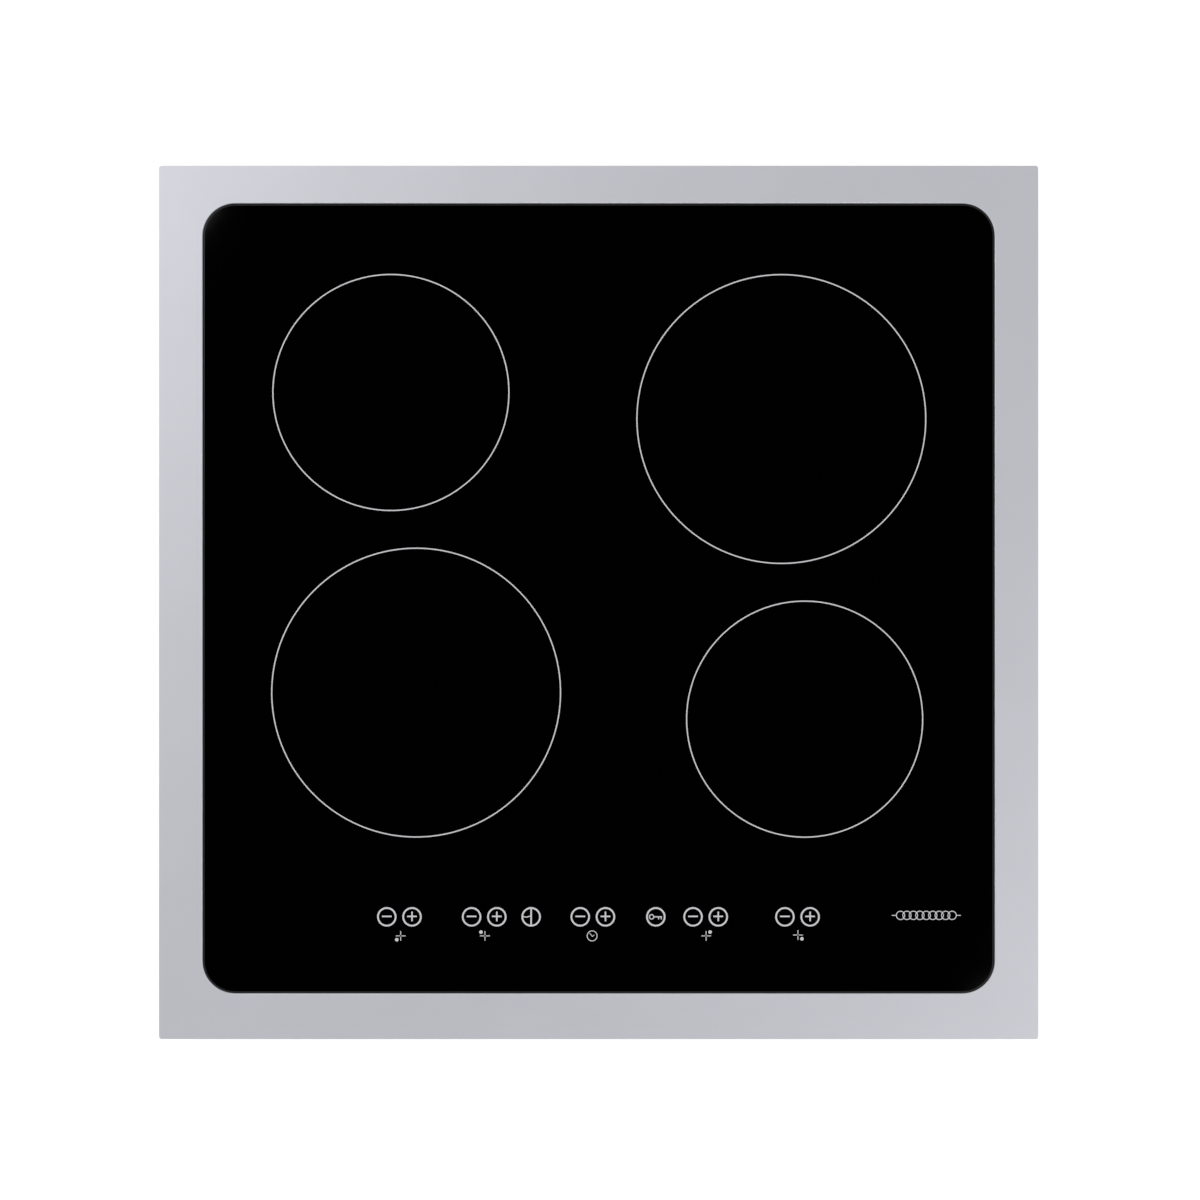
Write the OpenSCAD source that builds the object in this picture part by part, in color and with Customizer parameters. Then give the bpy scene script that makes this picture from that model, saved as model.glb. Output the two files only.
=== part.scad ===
// Drop-in induction cooktop with four cooking zones, in millimetres.
// +X is the user's right, +Y the rear, +Z up. The origin is the centre of the outline at the base.

/* [Trim frame] */
// Width of the trim frame, left to right
frame_w = 600; // [590:1:620]
// Depth of the trim frame, front to rear
frame_d = 596; // [590:1:610]
// Steel border at each side of the glass
side_border = 30; // [28:0.5:32]
// Steel border behind the glass
rear_border = 26; // [25:0.5:28]
// Steel border in front of the glass
front_border = 31.5; // [30:0.5:34]
// Corner radius of the glass opening
opening_r = 22; // [15:1:30]
// Thickness of the frame's sheet steel
sheet_t = 0.8; // [0.6:0.1:1]
// Height of the folded outer edge
fold_h = 5; // [4.5:0.1:5.5]

/* [Glass] */
// Height of the glass's top face above the base
glass_top_z = 56; // [56:1:60]
// Thickness of the glass ceramic
glass_t = 4; // [4:0.5:5]
// Width of the silicone joint round the glass
joint_w = 0.5; // [0.4:0.1:1]

/* [Cooking zones] */
// Radius of a small zone's printed ring
small_zone_r = 80.5; // [72:0.5:81]
// Radius of a large zone's printed ring
large_zone_r = 98.5; // [90:0.5:99]
// Width of the printed ring line
ring_line = 0.8; // [0.6:0.05:1.2]
// How far each coil stops inside its ring
coil_inset = 8.5; // [8:0.5:14]

/* [Casing] */
// Thickness of the casing's sheet steel
casing_t = 0.8; // [0.6:0.1:1]

/* [Hidden] */
$fn = 72;
eps = 1; // how far a cutter runs past the face it opens

opening_w = frame_w - 2 * side_border;
opening_d = frame_d - front_border - rear_border;
centre_y = (front_border - rear_border) / 2; // middle of the glass and casing
ledge_w = 10;
adhesive_t = 0.5;
glass_under = glass_top_z - glass_t;
ledge_top = glass_under - adhesive_t;
ledge_under = ledge_top - sheet_t;
fold_z = glass_top_z - fold_h;
seat_z = fold_z - 1; // underside of the foam seal, which rests on the worktop
print_t = 0.05;

// Zones: name, centre x, centre y from the glass centre, size, lead direction, and side.
ZONES = [
    ["rear_left", -141.7, 140.45, "small", -1, -1],
    ["rear_right", 124.6, 122.35, "large", -1, 1],
    ["front_left", -124.5, -64.25, "large", 1, -1],
    ["front_right", 140.5, -82.35, "small", 1, 1],
];
function zone_r(i) = ZONES[i][3] == "small" ? small_zone_r : large_zone_r;
function coil_r(i) = zone_r(i) - coil_inset;
function zone_at(i, z = 0) = [ZONES[i][1], ZONES[i][2] + centre_y, z];
function zones_on(side) = [for (i = [0:3]) if (ZONES[i][5] == side) i];

// Control row: pairs of minus and plus keys, with a zone marker or a clock below each pair.
row_y = -214.45;
pair_x = [-135.9, -78.05, -3.95, 73, 135.65];
pair_gap = 17.2;
power_x = -46.05;
lock_x = 39;
key_r = 6.6;
key_line = 1.15;
bar_l = 6.6;
bar_w = 1;
bar_lift = 0.3; // of the plus and minus signs above the middle of their rings
coil_mark_x = 223.5;
coil_mark_y = -213.45;
key_x = concat([for (x = pair_x) for (s = [-1, 1]) x + s * pair_gap / 2], [power_x, lock_x]);

// The mark below each pair: its place from the pair's middle, and its dot's corner ([0, 0] is a clock).
MARKS = [[0.9, -13, [-1, -1]], [0.5, -13, [-1, 1]], [-0.5, -13, [0, 0]],
         [0.3, -13, [1, 1]], [0.3, -12.4, [1, -1]]];

// Coil stack, from the glass down.
mica_t = 0.8;
winding_t = 4;
carrier_t = 5;
tray_t = 1.5;
mica_z = glass_under - mica_t;
winding_z = mica_z - winding_t;
carrier_z = winding_z - carrier_t;
tray_z = carrier_z - tray_t;
coil_bore_r = 24;
ferrite_w = 11;
ferrite_t = 4;
ferrite_n = 8;
sensor_r = 7;

// Trays and their sprung posts, for the right side; the left side mirrors them.
tray_x = [8, 255];
tray_y = [-175, 228];
post_x = [20, 245];
post_y = [-165, 218];
post_r = 6;
pin_r = 2.5;
pin_hole_r = 3;
spring_h = 10;
spring_wire = 1.2;
spring_r = 4.3;
post_top = tray_z - spring_h;
lead_gap = 8;
lead_r = 1.75;
lead_out = 7; // from the winding's edge to the lead's drop
lead_bend = 4;

// Boards, for the right side.
board_x = [22, 240];
board_y = [-125, 120];
board_z = 6;
board_t = 1.6;
board_top = board_z + board_t;
terminal_h = 4;
sink_x = [168, 232];
sink_y = [-30, 118];
sink_base = 4;
sink_h = 24;
fin_n = 11;
fin_t = 1.2;
transistor = [5, 16, 21];
transistor_y = [-18, 14, 58, 90];

// Fan, for the right side.
fan_at = [185, 181];
fan_r = 50; // outside of the housing
fan_h = 25;
fan_inlet_r = 38;
impeller_r = 44;
blade_n = 32;
shaft_r = 1.5;
fan_pitch = 9;
slot_w = 4;

// Control board under the key row.
ui_x = 170;
ui_y = [-240, -190];
ui_floor_z = 40;
ui_z = 43;

// Mains filter board, and the wires between the boards.
filter_x = 100;
filter_y = [140, 204];
filter_in_y = 196;
filter_out_y = 146;
supply_y = 112;
mains_x = [-37.5, -7.5, 7.5, 37.5];
supply_x = [62, 72, 82];
ribbon_x = [98, 101, 104, 107, 110];
ribbon_y = [-118, -205];
fan_lead_x = [149, 153];

// Terminal box at the rear and the cable entry.
rear_face = centre_y + opening_d / 2;
front_face = centre_y - opening_d / 2;
side_face = opening_w / 2;
window_w = 120;
window_z = [8, 43];
box_x = [-62, 114];
box_y = [232, rear_face - casing_t];
box_z = [casing_t, 46];
box_wall = 2;
block_x = 45;
block_y = [240, 262];
block_wire_z = 14;
hinge_y = rear_face + 4;
hinge_z = 44.5;
hinge_pin_r = 1.5;
lug_x = [54.5, 59.5];
gland_x = 100;
gland_z = 24;
gland_r = 6.5;
gland_hole_r = 9;

// Worktop clamps: name, side, y.
CLAMPS = [["front_left", -1, -190], ["rear_left", -1, 190],
          ["front_right", 1, -190], ["rear_right", 1, 190]];
clamp_x = side_face + 5.5;
clamp_screw_r = 2;
clamp_z = 8;
nut = [8, 8, 6];
arm_l = 42;
arm_t = 2.5;
collar_r = 3;

// ---- shared shapes ----

module rounded_plate(w, d, h, r) {
    linear_extrude(h) {
        square([w - 2 * r, d], center = true);
        square([w, d - 2 * r], center = true);
        for (x = [-1, 1], y = [-1, 1])
            translate([x * (w / 2 - r), y * (d / 2 - r)]) circle(r);
    }
}

// A plate the shape of the glass opening, grown by g on every side.
module opening_plate(g, z, h) {
    translate([0, centre_y, z]) rounded_plate(opening_w + 2 * g, opening_d + 2 * g, h, opening_r + g);
}

module tube(r_out, r_in, h) {
    difference() {
        cylinder(r = r_out, h = h);
        translate([0, 0, -eps]) cylinder(r = r_in, h = h + 2 * eps);
    }
}

module block(x, y, z) {
    translate([x[0], y[0], z[0]]) cube([x[1] - x[0], y[1] - y[0], z[1] - z[0]]);
}

// Children drawn for the right side at 1, or mirrored to the left side at -1.
module on_side(side) {
    if (side > 0) children();
    else mirror([1, 0, 0]) children();
}

module both_sides() {
    on_side(-1) children();
    on_side(1) children();
}

// A pan-head screw along +Z with its head's underside at 0 and a cross recess.
module screw(shank_r, length, head_r, head_h) {
    translate([0, 0, -length]) cylinder(r = shank_r, h = length);
    difference() {
        cylinder(r = head_r, h = head_h);
        for (a = [0, 90]) rotate(a)
            block([-head_r * 0.6, head_r * 0.6], [-0.5, 0.5], [head_h / 2, head_h + eps]);
    }
}

// A round wire that starts along +Z and follows [length, bend radius, bend angle, bend heading] steps.
module wire(r, steps, i = 0) {
    if (i < len(steps)) {
        s = steps[i];
        if (s[0] > 0) cylinder(r = r, h = s[0]);
        translate([0, 0, s[0]])
            if (s[1] > 0) rotate(s[3]) {
                translate([s[1], 0, 0]) rotate([90, 0, 180]) rotate_extrude(angle = s[2])
                    translate([s[1], 0]) circle(r);
                translate([s[1], 0, 0]) rotate([0, s[2], 0]) translate([-s[1], 0, 0])
                    wire(r, steps, i + 1);
            } else wire(r, steps, i + 1);
    }
}

// ---- top ----

module glass_top() {
    color([0.02, 0.02, 0.02]) opening_plate(-joint_w, glass_under, glass_t);
}

// Tabs folded down from the ledge, which the casing is screwed to.
tab_w = 16;
tab_t = 1;
tab_h = 12.7;
tab_along = 150; // on the front and rear walls, from the middle
tab_across = 100; // on the side walls, from the middle
screw_z = ledge_under - 6.7;
wall_gap = casing_t + 0.1;

// Children stand on a wall with +Z outwards and +Y up; heading 0 is the front, 90 the right.
module on_wall(p, heading) {
    translate(p) rotate([90, 0, heading]) children();
}

module at_fixings() {
    for (s = [-1, 1]) {
        for (y = [-tab_across, tab_across])
            on_wall([s * side_face, centre_y + y, screw_z], s * 90) children();
        for (x = [-tab_along, tab_along])
            on_wall([x, centre_y + s * opening_d / 2, screw_z], s > 0 ? 180 : 0) children();
    }
}

module trim_frame() {
    color("silver") difference() {
        union() {
            difference() {
                translate([-frame_w / 2, -frame_d / 2, fold_z]) cube([frame_w, frame_d, fold_h]);
                translate([sheet_t - frame_w / 2, sheet_t - frame_d / 2, fold_z - eps])
                    cube([frame_w - 2 * sheet_t, frame_d - 2 * sheet_t, fold_h - sheet_t + eps]);
            }
            opening_plate(sheet_t, ledge_under, glass_top_z - ledge_under);
            at_fixings() translate([-tab_w / 2, ledge_under - screw_z - tab_h, -wall_gap - tab_t])
                cube([tab_w, tab_h, tab_t]);
        }
        opening_plate(0, ledge_top, glass_top_z);
        opening_plate(-ledge_w, ledge_under - eps, glass_top_z);
        at_fixings() translate([0, 0, -wall_gap - tab_t - eps]) cylinder(r = 1.8, h = tab_t + 2 * eps);
    }
}

// The silicone fills the joint round the glass and the bed under its edge.
module glass_adhesive() {
    color("dimgray") difference() {
        opening_plate(0, ledge_top, glass_t + adhesive_t - 0.3);
        opening_plate(-joint_w, glass_under, glass_top_z);
        opening_plate(-ledge_w + 2, ledge_top - eps, glass_top_z);
    }
}

// Four strips of foam inside the folded edge.
seal_w = 12;
seal_gap = 2;
module worktop_seal() {
    x = frame_w / 2 - sheet_t - seal_gap;
    y = frame_d / 2 - sheet_t - seal_gap;
    z = [seat_z, glass_top_z - sheet_t];
    color("darkslategray") for (s = [-1, 1]) {
        block([min(s * x, s * (x - seal_w)), max(s * x, s * (x - seal_w))], [seal_w - y, y - seal_w], z);
        block([-x, x], [min(s * y, s * (y - seal_w)), max(s * y, s * (y - seal_w))], z);
    }
}

// ---- printed marks ----

module on_glass(x, y) {
    translate([x, y, glass_top_z]) children();
}

module print_ring(r, line) {
    tube(r + line / 2, r - line / 2, print_t);
}

module print_bar(l, w) {
    translate([-l / 2, -w / 2, 0]) cube([l, w, print_t]);
}

module print_line(a, b, w) {
    d = b - a;
    translate(a) rotate(atan2(d[1], d[0])) translate([0, -w / 2, 0]) cube([norm(d), w, print_t]);
}

module zone_ring_print() {
    color("gainsboro") for (i = [0:3])
        on_glass(ZONES[i][1], ZONES[i][2] + centre_y) print_ring(zone_r(i), ring_line);
}

module lock_mark() {
    translate([-2.9, 0, 0]) print_ring(1.5, 0.7);
    print_line([-1.2, 0], [4.2, 0], 0.75);
    for (x = [1.9, 3.7]) translate([x - 0.35, -1.7, 0]) cube([0.7, 1.7, print_t]);
}

module power_mark() {
    rotate(90) print_bar(2 * key_r - key_line, 1.05);
    print_line([-5.6, 0.1], [-3, -0.2], 0.7);
    print_line([-3, -0.2], [-0.4, 0.6], 0.7);
}

module clock_mark() {
    print_ring(3.4, 0.55);
    print_line([-1.8, 2], [0.2, -0.5], 0.45);
    print_line([0.1, -0.5], [1.4, 0.6], 0.45);
}

// A cross that is open at its middle, with a dot in one corner.
module zone_marker(dot) {
    for (a = [0:90:270]) rotate(a) translate([1.9, 0, 0]) print_bar(2.8, 0.55);
    translate([dot[0] * 2.7, dot[1] * 2.6, 0]) cylinder(r = 1.2, h = print_t);
}

// A row of wire loops with a lead at each end: the sign for an induction coil.
module coil_mark() {
    loops = 9;
    pitch = 4.4;
    loop_r = 2.85;
    line = 0.55;
    end = (loops - 1) / 2 * pitch + loop_r;
    for (k = [0:loops - 1]) translate([(k - (loops - 1) / 2) * pitch, 0, 0]) print_ring(loop_r, line);
    for (s = [-1, 1]) translate([s * (end + 1.5), 0, 0]) print_bar(3.2, line);
}

module control_symbol_print() {
    color("gainsboro") {
        for (x = key_x) on_glass(x, row_y) print_ring(key_r - key_line / 2, key_line);
        for (x = pair_x) {
            on_glass(x - pair_gap / 2, row_y + bar_lift) print_bar(bar_l, bar_w);
            on_glass(x + pair_gap / 2, row_y + bar_lift) {
                print_bar(bar_l, bar_w);
                rotate(90) print_bar(bar_l, bar_w);
            }
        }
        for (k = [0:4]) on_glass(pair_x[k] + MARKS[k][0], row_y + MARKS[k][1])
            if (MARKS[k][2] == [0, 0]) clock_mark();
            else zone_marker(MARKS[k][2]);
        on_glass(power_x, row_y) power_mark();
        on_glass(lock_x, row_y) lock_mark();
        on_glass(coil_mark_x, coil_mark_y) coil_mark();
    }
}

// ---- casing ----

module slot(l, w, h) {
    linear_extrude(h) {
        square([l - w, w], center = true);
        for (s = [-1, 1]) translate([s * (l - w) / 2, 0]) circle(w / 2);
    }
}

intake_slots = 4; // on each side of the middle one
vent_pitch = 10;
front_vents = 22; // on each side of the middle
vent_z = [10, 34];
floor_vents = 10; // on each side, behind the front wall
floor_vent_l = 40;
floor_vent_at = [80, 45]; // the first one's x, and its distance from the front wall
side_vents = 8;
side_vent_y = -130; // the foremost one
module casing_vents() {
    both_sides() translate([fan_at[0], fan_at[1], -eps]) for (k = [-intake_slots:intake_slots])
        translate([0, k * fan_pitch, 0])
            slot(2 * sqrt(pow(fan_inlet_r + 4, 2) - pow(k * fan_pitch, 2)), slot_w, casing_t + 2 * eps);
    for (k = [-front_vents:front_vents])
        block([k * vent_pitch - slot_w / 2, k * vent_pitch + slot_w / 2],
              [front_face - eps, front_face + casing_t + eps], vent_z);
    both_sides() for (k = [0:floor_vents - 1])
        translate([floor_vent_at[0] + k * vent_pitch, front_face + floor_vent_at[1], -eps])
            rotate(90) slot(floor_vent_l, slot_w, casing_t + 2 * eps);
    both_sides() for (k = [0:side_vents - 1]) translate([0, side_vent_y + k * vent_pitch, 0])
        block([side_face - casing_t - eps, side_face + eps], [-slot_w / 2, slot_w / 2], vent_z);
}

module base_casing() {
    color("gainsboro") difference() {
        opening_plate(0, 0, ledge_under);
        opening_plate(-casing_t, casing_t, glass_top_z);
        casing_vents();
        at_fixings() translate([0, 0, -casing_t - eps]) cylinder(r = 1.9, h = casing_t + 2 * eps);
        block([-window_w / 2, window_w / 2], [rear_face - 5, rear_face + eps], window_z);
        on_wall([gland_x, rear_face, gland_z], 180) translate([0, 0, -5])
            cylinder(r = gland_hole_r, h = 5 + eps);
    }
}

module casing_screws() {
    color("silver") at_fixings() screw(1.75, 6, 3.4, 2);
}

// ---- coils ----

module at_zone(i, z) {
    translate(zone_at(i, z)) children();
}

// The pair of leads of zone i: children stand at each lead's drop.
module at_leads(i, z) {
    for (s = [-1, 1])
        translate(zone_at(i, z) + [s * lead_gap / 2, ZONES[i][4] * (coil_r(i) + lead_out), 0])
            children();
}

module coil_winding(i) {
    color("peru") at_zone(i, winding_z) tube(coil_r(i), coil_bore_r, winding_t);
}

rim_w = 3;
module coil_carrier(i) {
    r = coil_r(i);
    spoke_w = ferrite_w + 4;
    color([0.12, 0.12, 0.13]) at_zone(i, carrier_z) difference() {
        union() {
            tube(r + rim_w, r - 6, carrier_t);
            tube(r + rim_w, r + 0.5, carrier_t + winding_t - 0.5);
            cylinder(r = coil_bore_r + 8, h = carrier_t);
            tube(coil_bore_r - 0.5, coil_bore_r - 2.5, carrier_t + winding_t - 0.5);
            for (a = [0:ferrite_n - 1]) rotate((a + 0.5) * 360 / ferrite_n)
                block([coil_bore_r, r - 1], [-spoke_w / 2, spoke_w / 2], [0, carrier_t]);
        }
        translate([0, 0, -eps]) cylinder(r = sensor_r + 0.1, h = glass_top_z);
        translate([0, 0, 2]) cylinder(r = coil_bore_r - 2.5, h = glass_top_z);
        rotate(ZONES[i][4] * 90) block([r, r + rim_w + eps], [-lead_gap / 2 - 2.5, lead_gap / 2 + 2.5],
                                       [carrier_t, glass_top_z]);
        ferrite_pockets(i);
    }
}

module ferrite_pockets(i) {
    for (a = [0:ferrite_n - 1]) rotate((a + 0.5) * 360 / ferrite_n)
        block(ferrite_span(i), [-ferrite_w / 2, ferrite_w / 2], [-eps, ferrite_t]);
}

function ferrite_l(i) = ZONES[i][3] == "small" ? 36 : 50;
function ferrite_mid(i) = (coil_bore_r + coil_r(i)) / 2;
function ferrite_span(i) = [for (s = [-1, 1]) ferrite_mid(i) + s * ferrite_l(i) / 2];

module ferrite_bars(side) {
    fit = 0.1;
    color("dimgray") for (i = zones_on(side)) at_zone(i, carrier_z)
        for (a = [0:ferrite_n - 1]) rotate((a + 0.5) * 360 / ferrite_n)
            block([ferrite_span(i)[0] + fit, ferrite_span(i)[1] - fit],
                  [fit - ferrite_w / 2, ferrite_w / 2 - fit], [0, ferrite_t - fit]);
}

module mica_sheets(side) {
    color("tan") for (i = zones_on(side)) at_zone(i, mica_z)
        tube(coil_r(i) + rim_w, sensor_r + 2, mica_t);
}

// A sensor pressed to the glass by the cup that it stands in.
module temperature_sensors(side) {
    color("white") for (i = zones_on(side)) at_zone(i, carrier_z) {
        cylinder(r = sensor_r, h = glass_under - carrier_z - 3);
        cylinder(r = sensor_r - 2.5, h = glass_under - carrier_z);
    }
}

module coil_tray(side) {
    lip = 4;
    lead_hole_r = 3.9;
    color("lightgray") difference() {
        on_side(side) difference() {
            union() {
                block(tray_x, tray_y, [tray_z, carrier_z]);
                for (y = [tray_y[0], tray_y[1] - tray_t])
                    block(tray_x, [y, y + tray_t], [tray_z - lip, carrier_z]);
            }
            for (x = post_x, y = post_y)
                translate([x, y, tray_z - lip]) cylinder(r = pin_hole_r, h = 2 * lip + tray_t);
        }
        for (i = zones_on(side)) {
            at_zone(i, tray_z - eps) cylinder(r = 4, h = tray_t + 2 * eps);
            at_leads(i, tray_z - eps) cylinder(r = lead_hole_r, h = tray_t + 2 * eps);
            translate(zone_at(i, tray_z - eps) + [0, ZONES[i][4] * (coil_r(i) + lead_out), 0])
                block([-lead_gap / 2, lead_gap / 2], [-lead_hole_r, lead_hole_r], [0, tray_t + 2 * eps]);
        }
    }
}

// A helical spring along +Z, as a swept tube with the given number of sides.
module helix(r, wire_r, h, turns, sides = 6, steps = 8) {
    n = turns * steps;
    rise = h - 2 * wire_r;
    points = [for (i = [0:n]) let (a = i * 360 / steps, z = wire_r + rise * i / n)
        for (k = [0:sides - 1]) let (b = (k + 0.5) * 360 / sides, d = r + wire_r * cos(b))
            [d * cos(a), d * sin(a), z + wire_r * sin(b)]];
    walls = [for (i = [0:n - 1], k = [0:sides - 1]) let (a = i * sides, j = (k + 1) % sides)
        [a + k, a + j, a + sides + j, a + sides + k]];
    ends = [[for (k = [sides - 1:-1:0]) k], [for (k = [0:sides - 1]) n * sides + k]];
    polyhedron(points, concat(walls, ends));
}

module tray_springs(side) {
    color("silver") on_side(side) for (x = post_x, y = post_y)
        translate([x, y, post_top]) helix(spring_r, spring_wire / 2, spring_h, 4);
}

module tray_posts() {
    color("silver") both_sides() for (x = post_x, y = post_y) translate([x, y, casing_t]) {
        cylinder(r = post_r, h = post_top - casing_t);
        cylinder(r = pin_r, h = carrier_z - casing_t + 2);
    }
}

// ---- power boards, drawn for the right side ----

// The outline of a power board, grown by g on every side.
module board_block(g, z) {
    block([board_x[0] - g, board_x[1] + g], [board_y[0] - g, board_y[1] + g], z);
}

module board_carriers() {
    rim = 4;
    color([0.15, 0.15, 0.16]) both_sides() difference() {
        board_block(rim, [casing_t, board_top + 2]);
        board_block(0.3, [board_z, glass_top_z]);
        board_block(-rim, [2, glass_top_z]);
    }
}

module power_board(side) {
    color("darkgreen") on_side(side) board_block(0, [board_z, board_top]);
}

module heat_sink(side) {
    pitch = (sink_x[1] - sink_x[0] - fin_t) / (fin_n - 1);
    color("lightgray") on_side(side) {
        block(sink_x, sink_y, [board_top, board_top + sink_base]);
        for (k = [0:fin_n - 1])
            block([sink_x[0] + k * pitch, sink_x[0] + k * pitch + fin_t], sink_y,
                  [board_top + sink_base - 0.1, board_top + sink_h]);
    }
}

// Transistors stand against the heat sink's inner fin on three legs each.
module power_transistors() {
    leg = 1;
    lift = 3;
    leg_pitch = 5;
    color([0.1, 0.1, 0.1]) both_sides() for (y = transistor_y)
        translate([sink_x[0] - transistor[0], y, board_top]) {
            translate([0, 0, lift]) cube(transistor);
            for (k = [-1:1])
                translate([(transistor[0] - leg) / 2, (transistor[1] - leg) / 2 + k * leg_pitch, 0])
                    cube([leg, leg, lift + 0.5]);
        }
}

// Boxes as [x, y, width, depth, height], cans as [x, y, radius, height], chokes as [x, y, R, r].
film_caps = [[32, -112, 20, 32, 26], [58, -112, 20, 32, 26], [84, -112, 14, 32, 22],
             [32, -70, 26, 14, 20]];
can_caps = [[44, -34, 11, 25], [72, -34, 11, 25], [190, -80, 9, 22]];
relays = [[32, 78, 28, 14, 16], [66, 78, 28, 14, 16], [124, -112, 22, 16, 16]];
chokes = [[52, 28, 15, 6.5], [200, -52, 12, 5]];
module board_components(side) {
    color("steelblue") {
        on_side(side) {
            for (c = concat(film_caps, relays))
                translate([c[0], c[1], board_top]) cube([c[2], c[3], c[4]]);
            for (c = can_caps) translate([c[0], c[1], board_top]) cylinder(r = c[2], h = c[3]);
            for (c = chokes) translate([c[0], c[1], board_top + c[3]])
                rotate_extrude() translate([c[2], 0]) circle(c[3]);
        }
        for (i = zones_on(side)) at_leads(i, board_top) cylinder(r = 3.6, h = terminal_h);
    }
}

// ---- fans, drawn for the right side ----

duct_x = [160, 232]; // outlet
fan_lugs = [45, 135, 225];
fan_wall = 1.6;
module at_fan(side, z = 0) {
    on_side(side) translate([fan_at[0], fan_at[1], z]) children();
}

module fan_housing(side) {
    duct = [duct_x[0] - fan_at[0], duct_x[1] - fan_at[0]];
    color([0.1, 0.1, 0.11]) at_fan(side, casing_t) difference() {
        union() {
            cylinder(r = fan_r, h = fan_h);
            block(duct, [-fan_r, 0], [0, fan_h]);
            for (a = fan_lugs) rotate(a) block([0, fan_r + 8], [-5, 5], [0, 3]);
        }
        translate([0, 0, fan_wall]) cylinder(r = fan_r - 2, h = fan_h - 2 * fan_wall);
        translate([0, 0, -eps]) cylinder(r = fan_inlet_r, h = fan_h / 2);
        block([duct[0] + fan_wall, duct[1] - fan_wall], [-fan_r - eps, 0], [fan_wall, fan_h - fan_wall]);
        for (a = fan_lugs) rotate(a) translate([fan_r + 4, 0, -eps]) cylinder(r = 1.8, h = 3 + 2 * eps);
    }
}

module fan_impeller(side) {
    ring_z = 4.5;
    deck_z = 19.5;
    hub_z = 7;
    hub_r = 15;
    color([0.05, 0.05, 0.05]) at_fan(side) difference() {
        union() {
            translate([0, 0, deck_z]) cylinder(r = impeller_r, h = fan_wall);
            translate([0, 0, ring_z]) tube(impeller_r, impeller_r - 6, fan_wall);
            translate([0, 0, hub_z]) cylinder(r = hub_r, h = deck_z - hub_z + 0.5);
            for (k = [0:blade_n - 1]) rotate(k * 360 / blade_n)
                translate([impeller_r - 5, 0, ring_z + 1]) rotate(35)
                    block([-4.5, 4.5], [-0.5, 0.5], [0, deck_z - ring_z - 0.5]);
        }
        translate([0, 0, hub_z + 2]) cylinder(r = hub_r - 2, h = deck_z);
        cylinder(r = shaft_r + 0.05, h = fan_h);
    }
}

module fan_motors() {
    motor_z = 11;
    color("dimgray") for (side = [-1, 1]) {
        at_fan(side, motor_z) cylinder(r = 12, h = casing_t + fan_h - fan_wall - motor_z);
        at_fan(side, 6) cylinder(r = shaft_r, h = 6);
    }
}

// ---- control board ----

module ui_carrier() {
    wall = 2;
    legs_x = [60, 160];
    color([0.15, 0.15, 0.16]) {
        difference() {
            block([-ui_x - wall, ui_x + wall], [ui_y[0] - wall, ui_y[1] + wall],
                  [ui_floor_z, glass_under - 0.5]);
            block([-ui_x, ui_x], ui_y, [ui_floor_z + wall, glass_top_z]);
            both_sides() block([ribbon_x[0] - 4, ribbon_x[4] + 4], [ribbon_y[1] - 3, ribbon_y[1] + 3],
                               [ui_floor_z - eps, ui_z]);
        }
        both_sides() for (x = legs_x, y = [ui_y[0] + 5, ui_y[1] - 5]) translate([x, y, 0]) {
            translate([0, 0, casing_t]) cylinder(r = 4, h = ui_floor_z - casing_t + 0.5);
            translate([0, 0, ui_floor_z + wall - 0.5]) cylinder(r = 3, h = ui_z - ui_floor_z - wall + 0.5);
        }
    }
}

// The control board carries one display behind each pair of keys.
module ui_board() {
    display = [25, 13, 6.5];
    color("darkgreen") {
        block([2 - ui_x, ui_x - 2], [ui_y[0] + 1, ui_y[1] - 1], [ui_z, ui_z + board_t]);
        for (x = pair_x)
            translate([x - display[0] / 2, ui_y[1] - display[1] - 2, ui_z + board_t]) cube(display);
    }
}

module touch_pads() {
    color("gray") for (x = key_x) translate([x, row_y, ui_z + board_t])
        cylinder(r = 5, h = glass_under - ui_z - board_t);
}

// ---- mains filter and terminals ----

// Boxes as [x, y, width, depth, height]; the choke as [x, y, R, r] round a post.
filter_boxes = [[34, 160, 28, 30, 18], [76, 176, 12, 20, 14]];
filter_choke = [0, 168, 12, 6];
module filter_board() {
    foot_r = 3;
    foot_in = 5;
    color("darkolivegreen") {
        both_sides() for (y = [filter_y[0] + foot_in, filter_y[1] - foot_in])
            translate([filter_x - foot_in, y, casing_t]) cylinder(r = foot_r, h = board_z - casing_t);
        block([-filter_x, filter_x], filter_y, [board_z, board_top]);
        translate([0, 0, board_top]) {
            for (x = mains_x) translate([x, filter_in_y, 0]) cylinder(r = 3, h = terminal_h);
            both_sides() for (x = supply_x) translate([x, filter_out_y, 0]) cylinder(r = 3, h = terminal_h);
            both_sides() for (b = filter_boxes) translate([b[0], b[1], 0]) cube([b[2], b[3], b[4]]);
            translate([filter_choke[0], filter_choke[1], 0]) {
                cylinder(r = 2.5, h = 16);
                translate([0, 0, 8]) rotate_extrude() translate([filter_choke[2], 0]) circle(filter_choke[3]);
            }
        }
    }
}

// The housing is open to the window and the cable entry in the casing's rear wall.
module terminal_housing() {
    color([0.16, 0.16, 0.17]) {
        difference() {
            block(box_x, box_y, box_z);
            block([box_x[0] + box_wall, box_x[1] - box_wall], [box_y[0] + box_wall, box_y[1] + eps],
                  [box_z[0] + box_wall, box_z[1] - box_wall]);
            for (x = mains_x) translate([x, box_y[0] - eps, block_wire_z]) rotate([-90, 0, 0])
                cylinder(r = 2, h = box_wall + 2 * eps);
        }
        for (s = [-1, 1]) hinge_lug(s);
    }
}

module along_x(x, r) {
    translate([x[0], hinge_y, hinge_z]) rotate([0, 90, 0]) cylinder(r = r, h = x[1] - x[0]);
}

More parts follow.
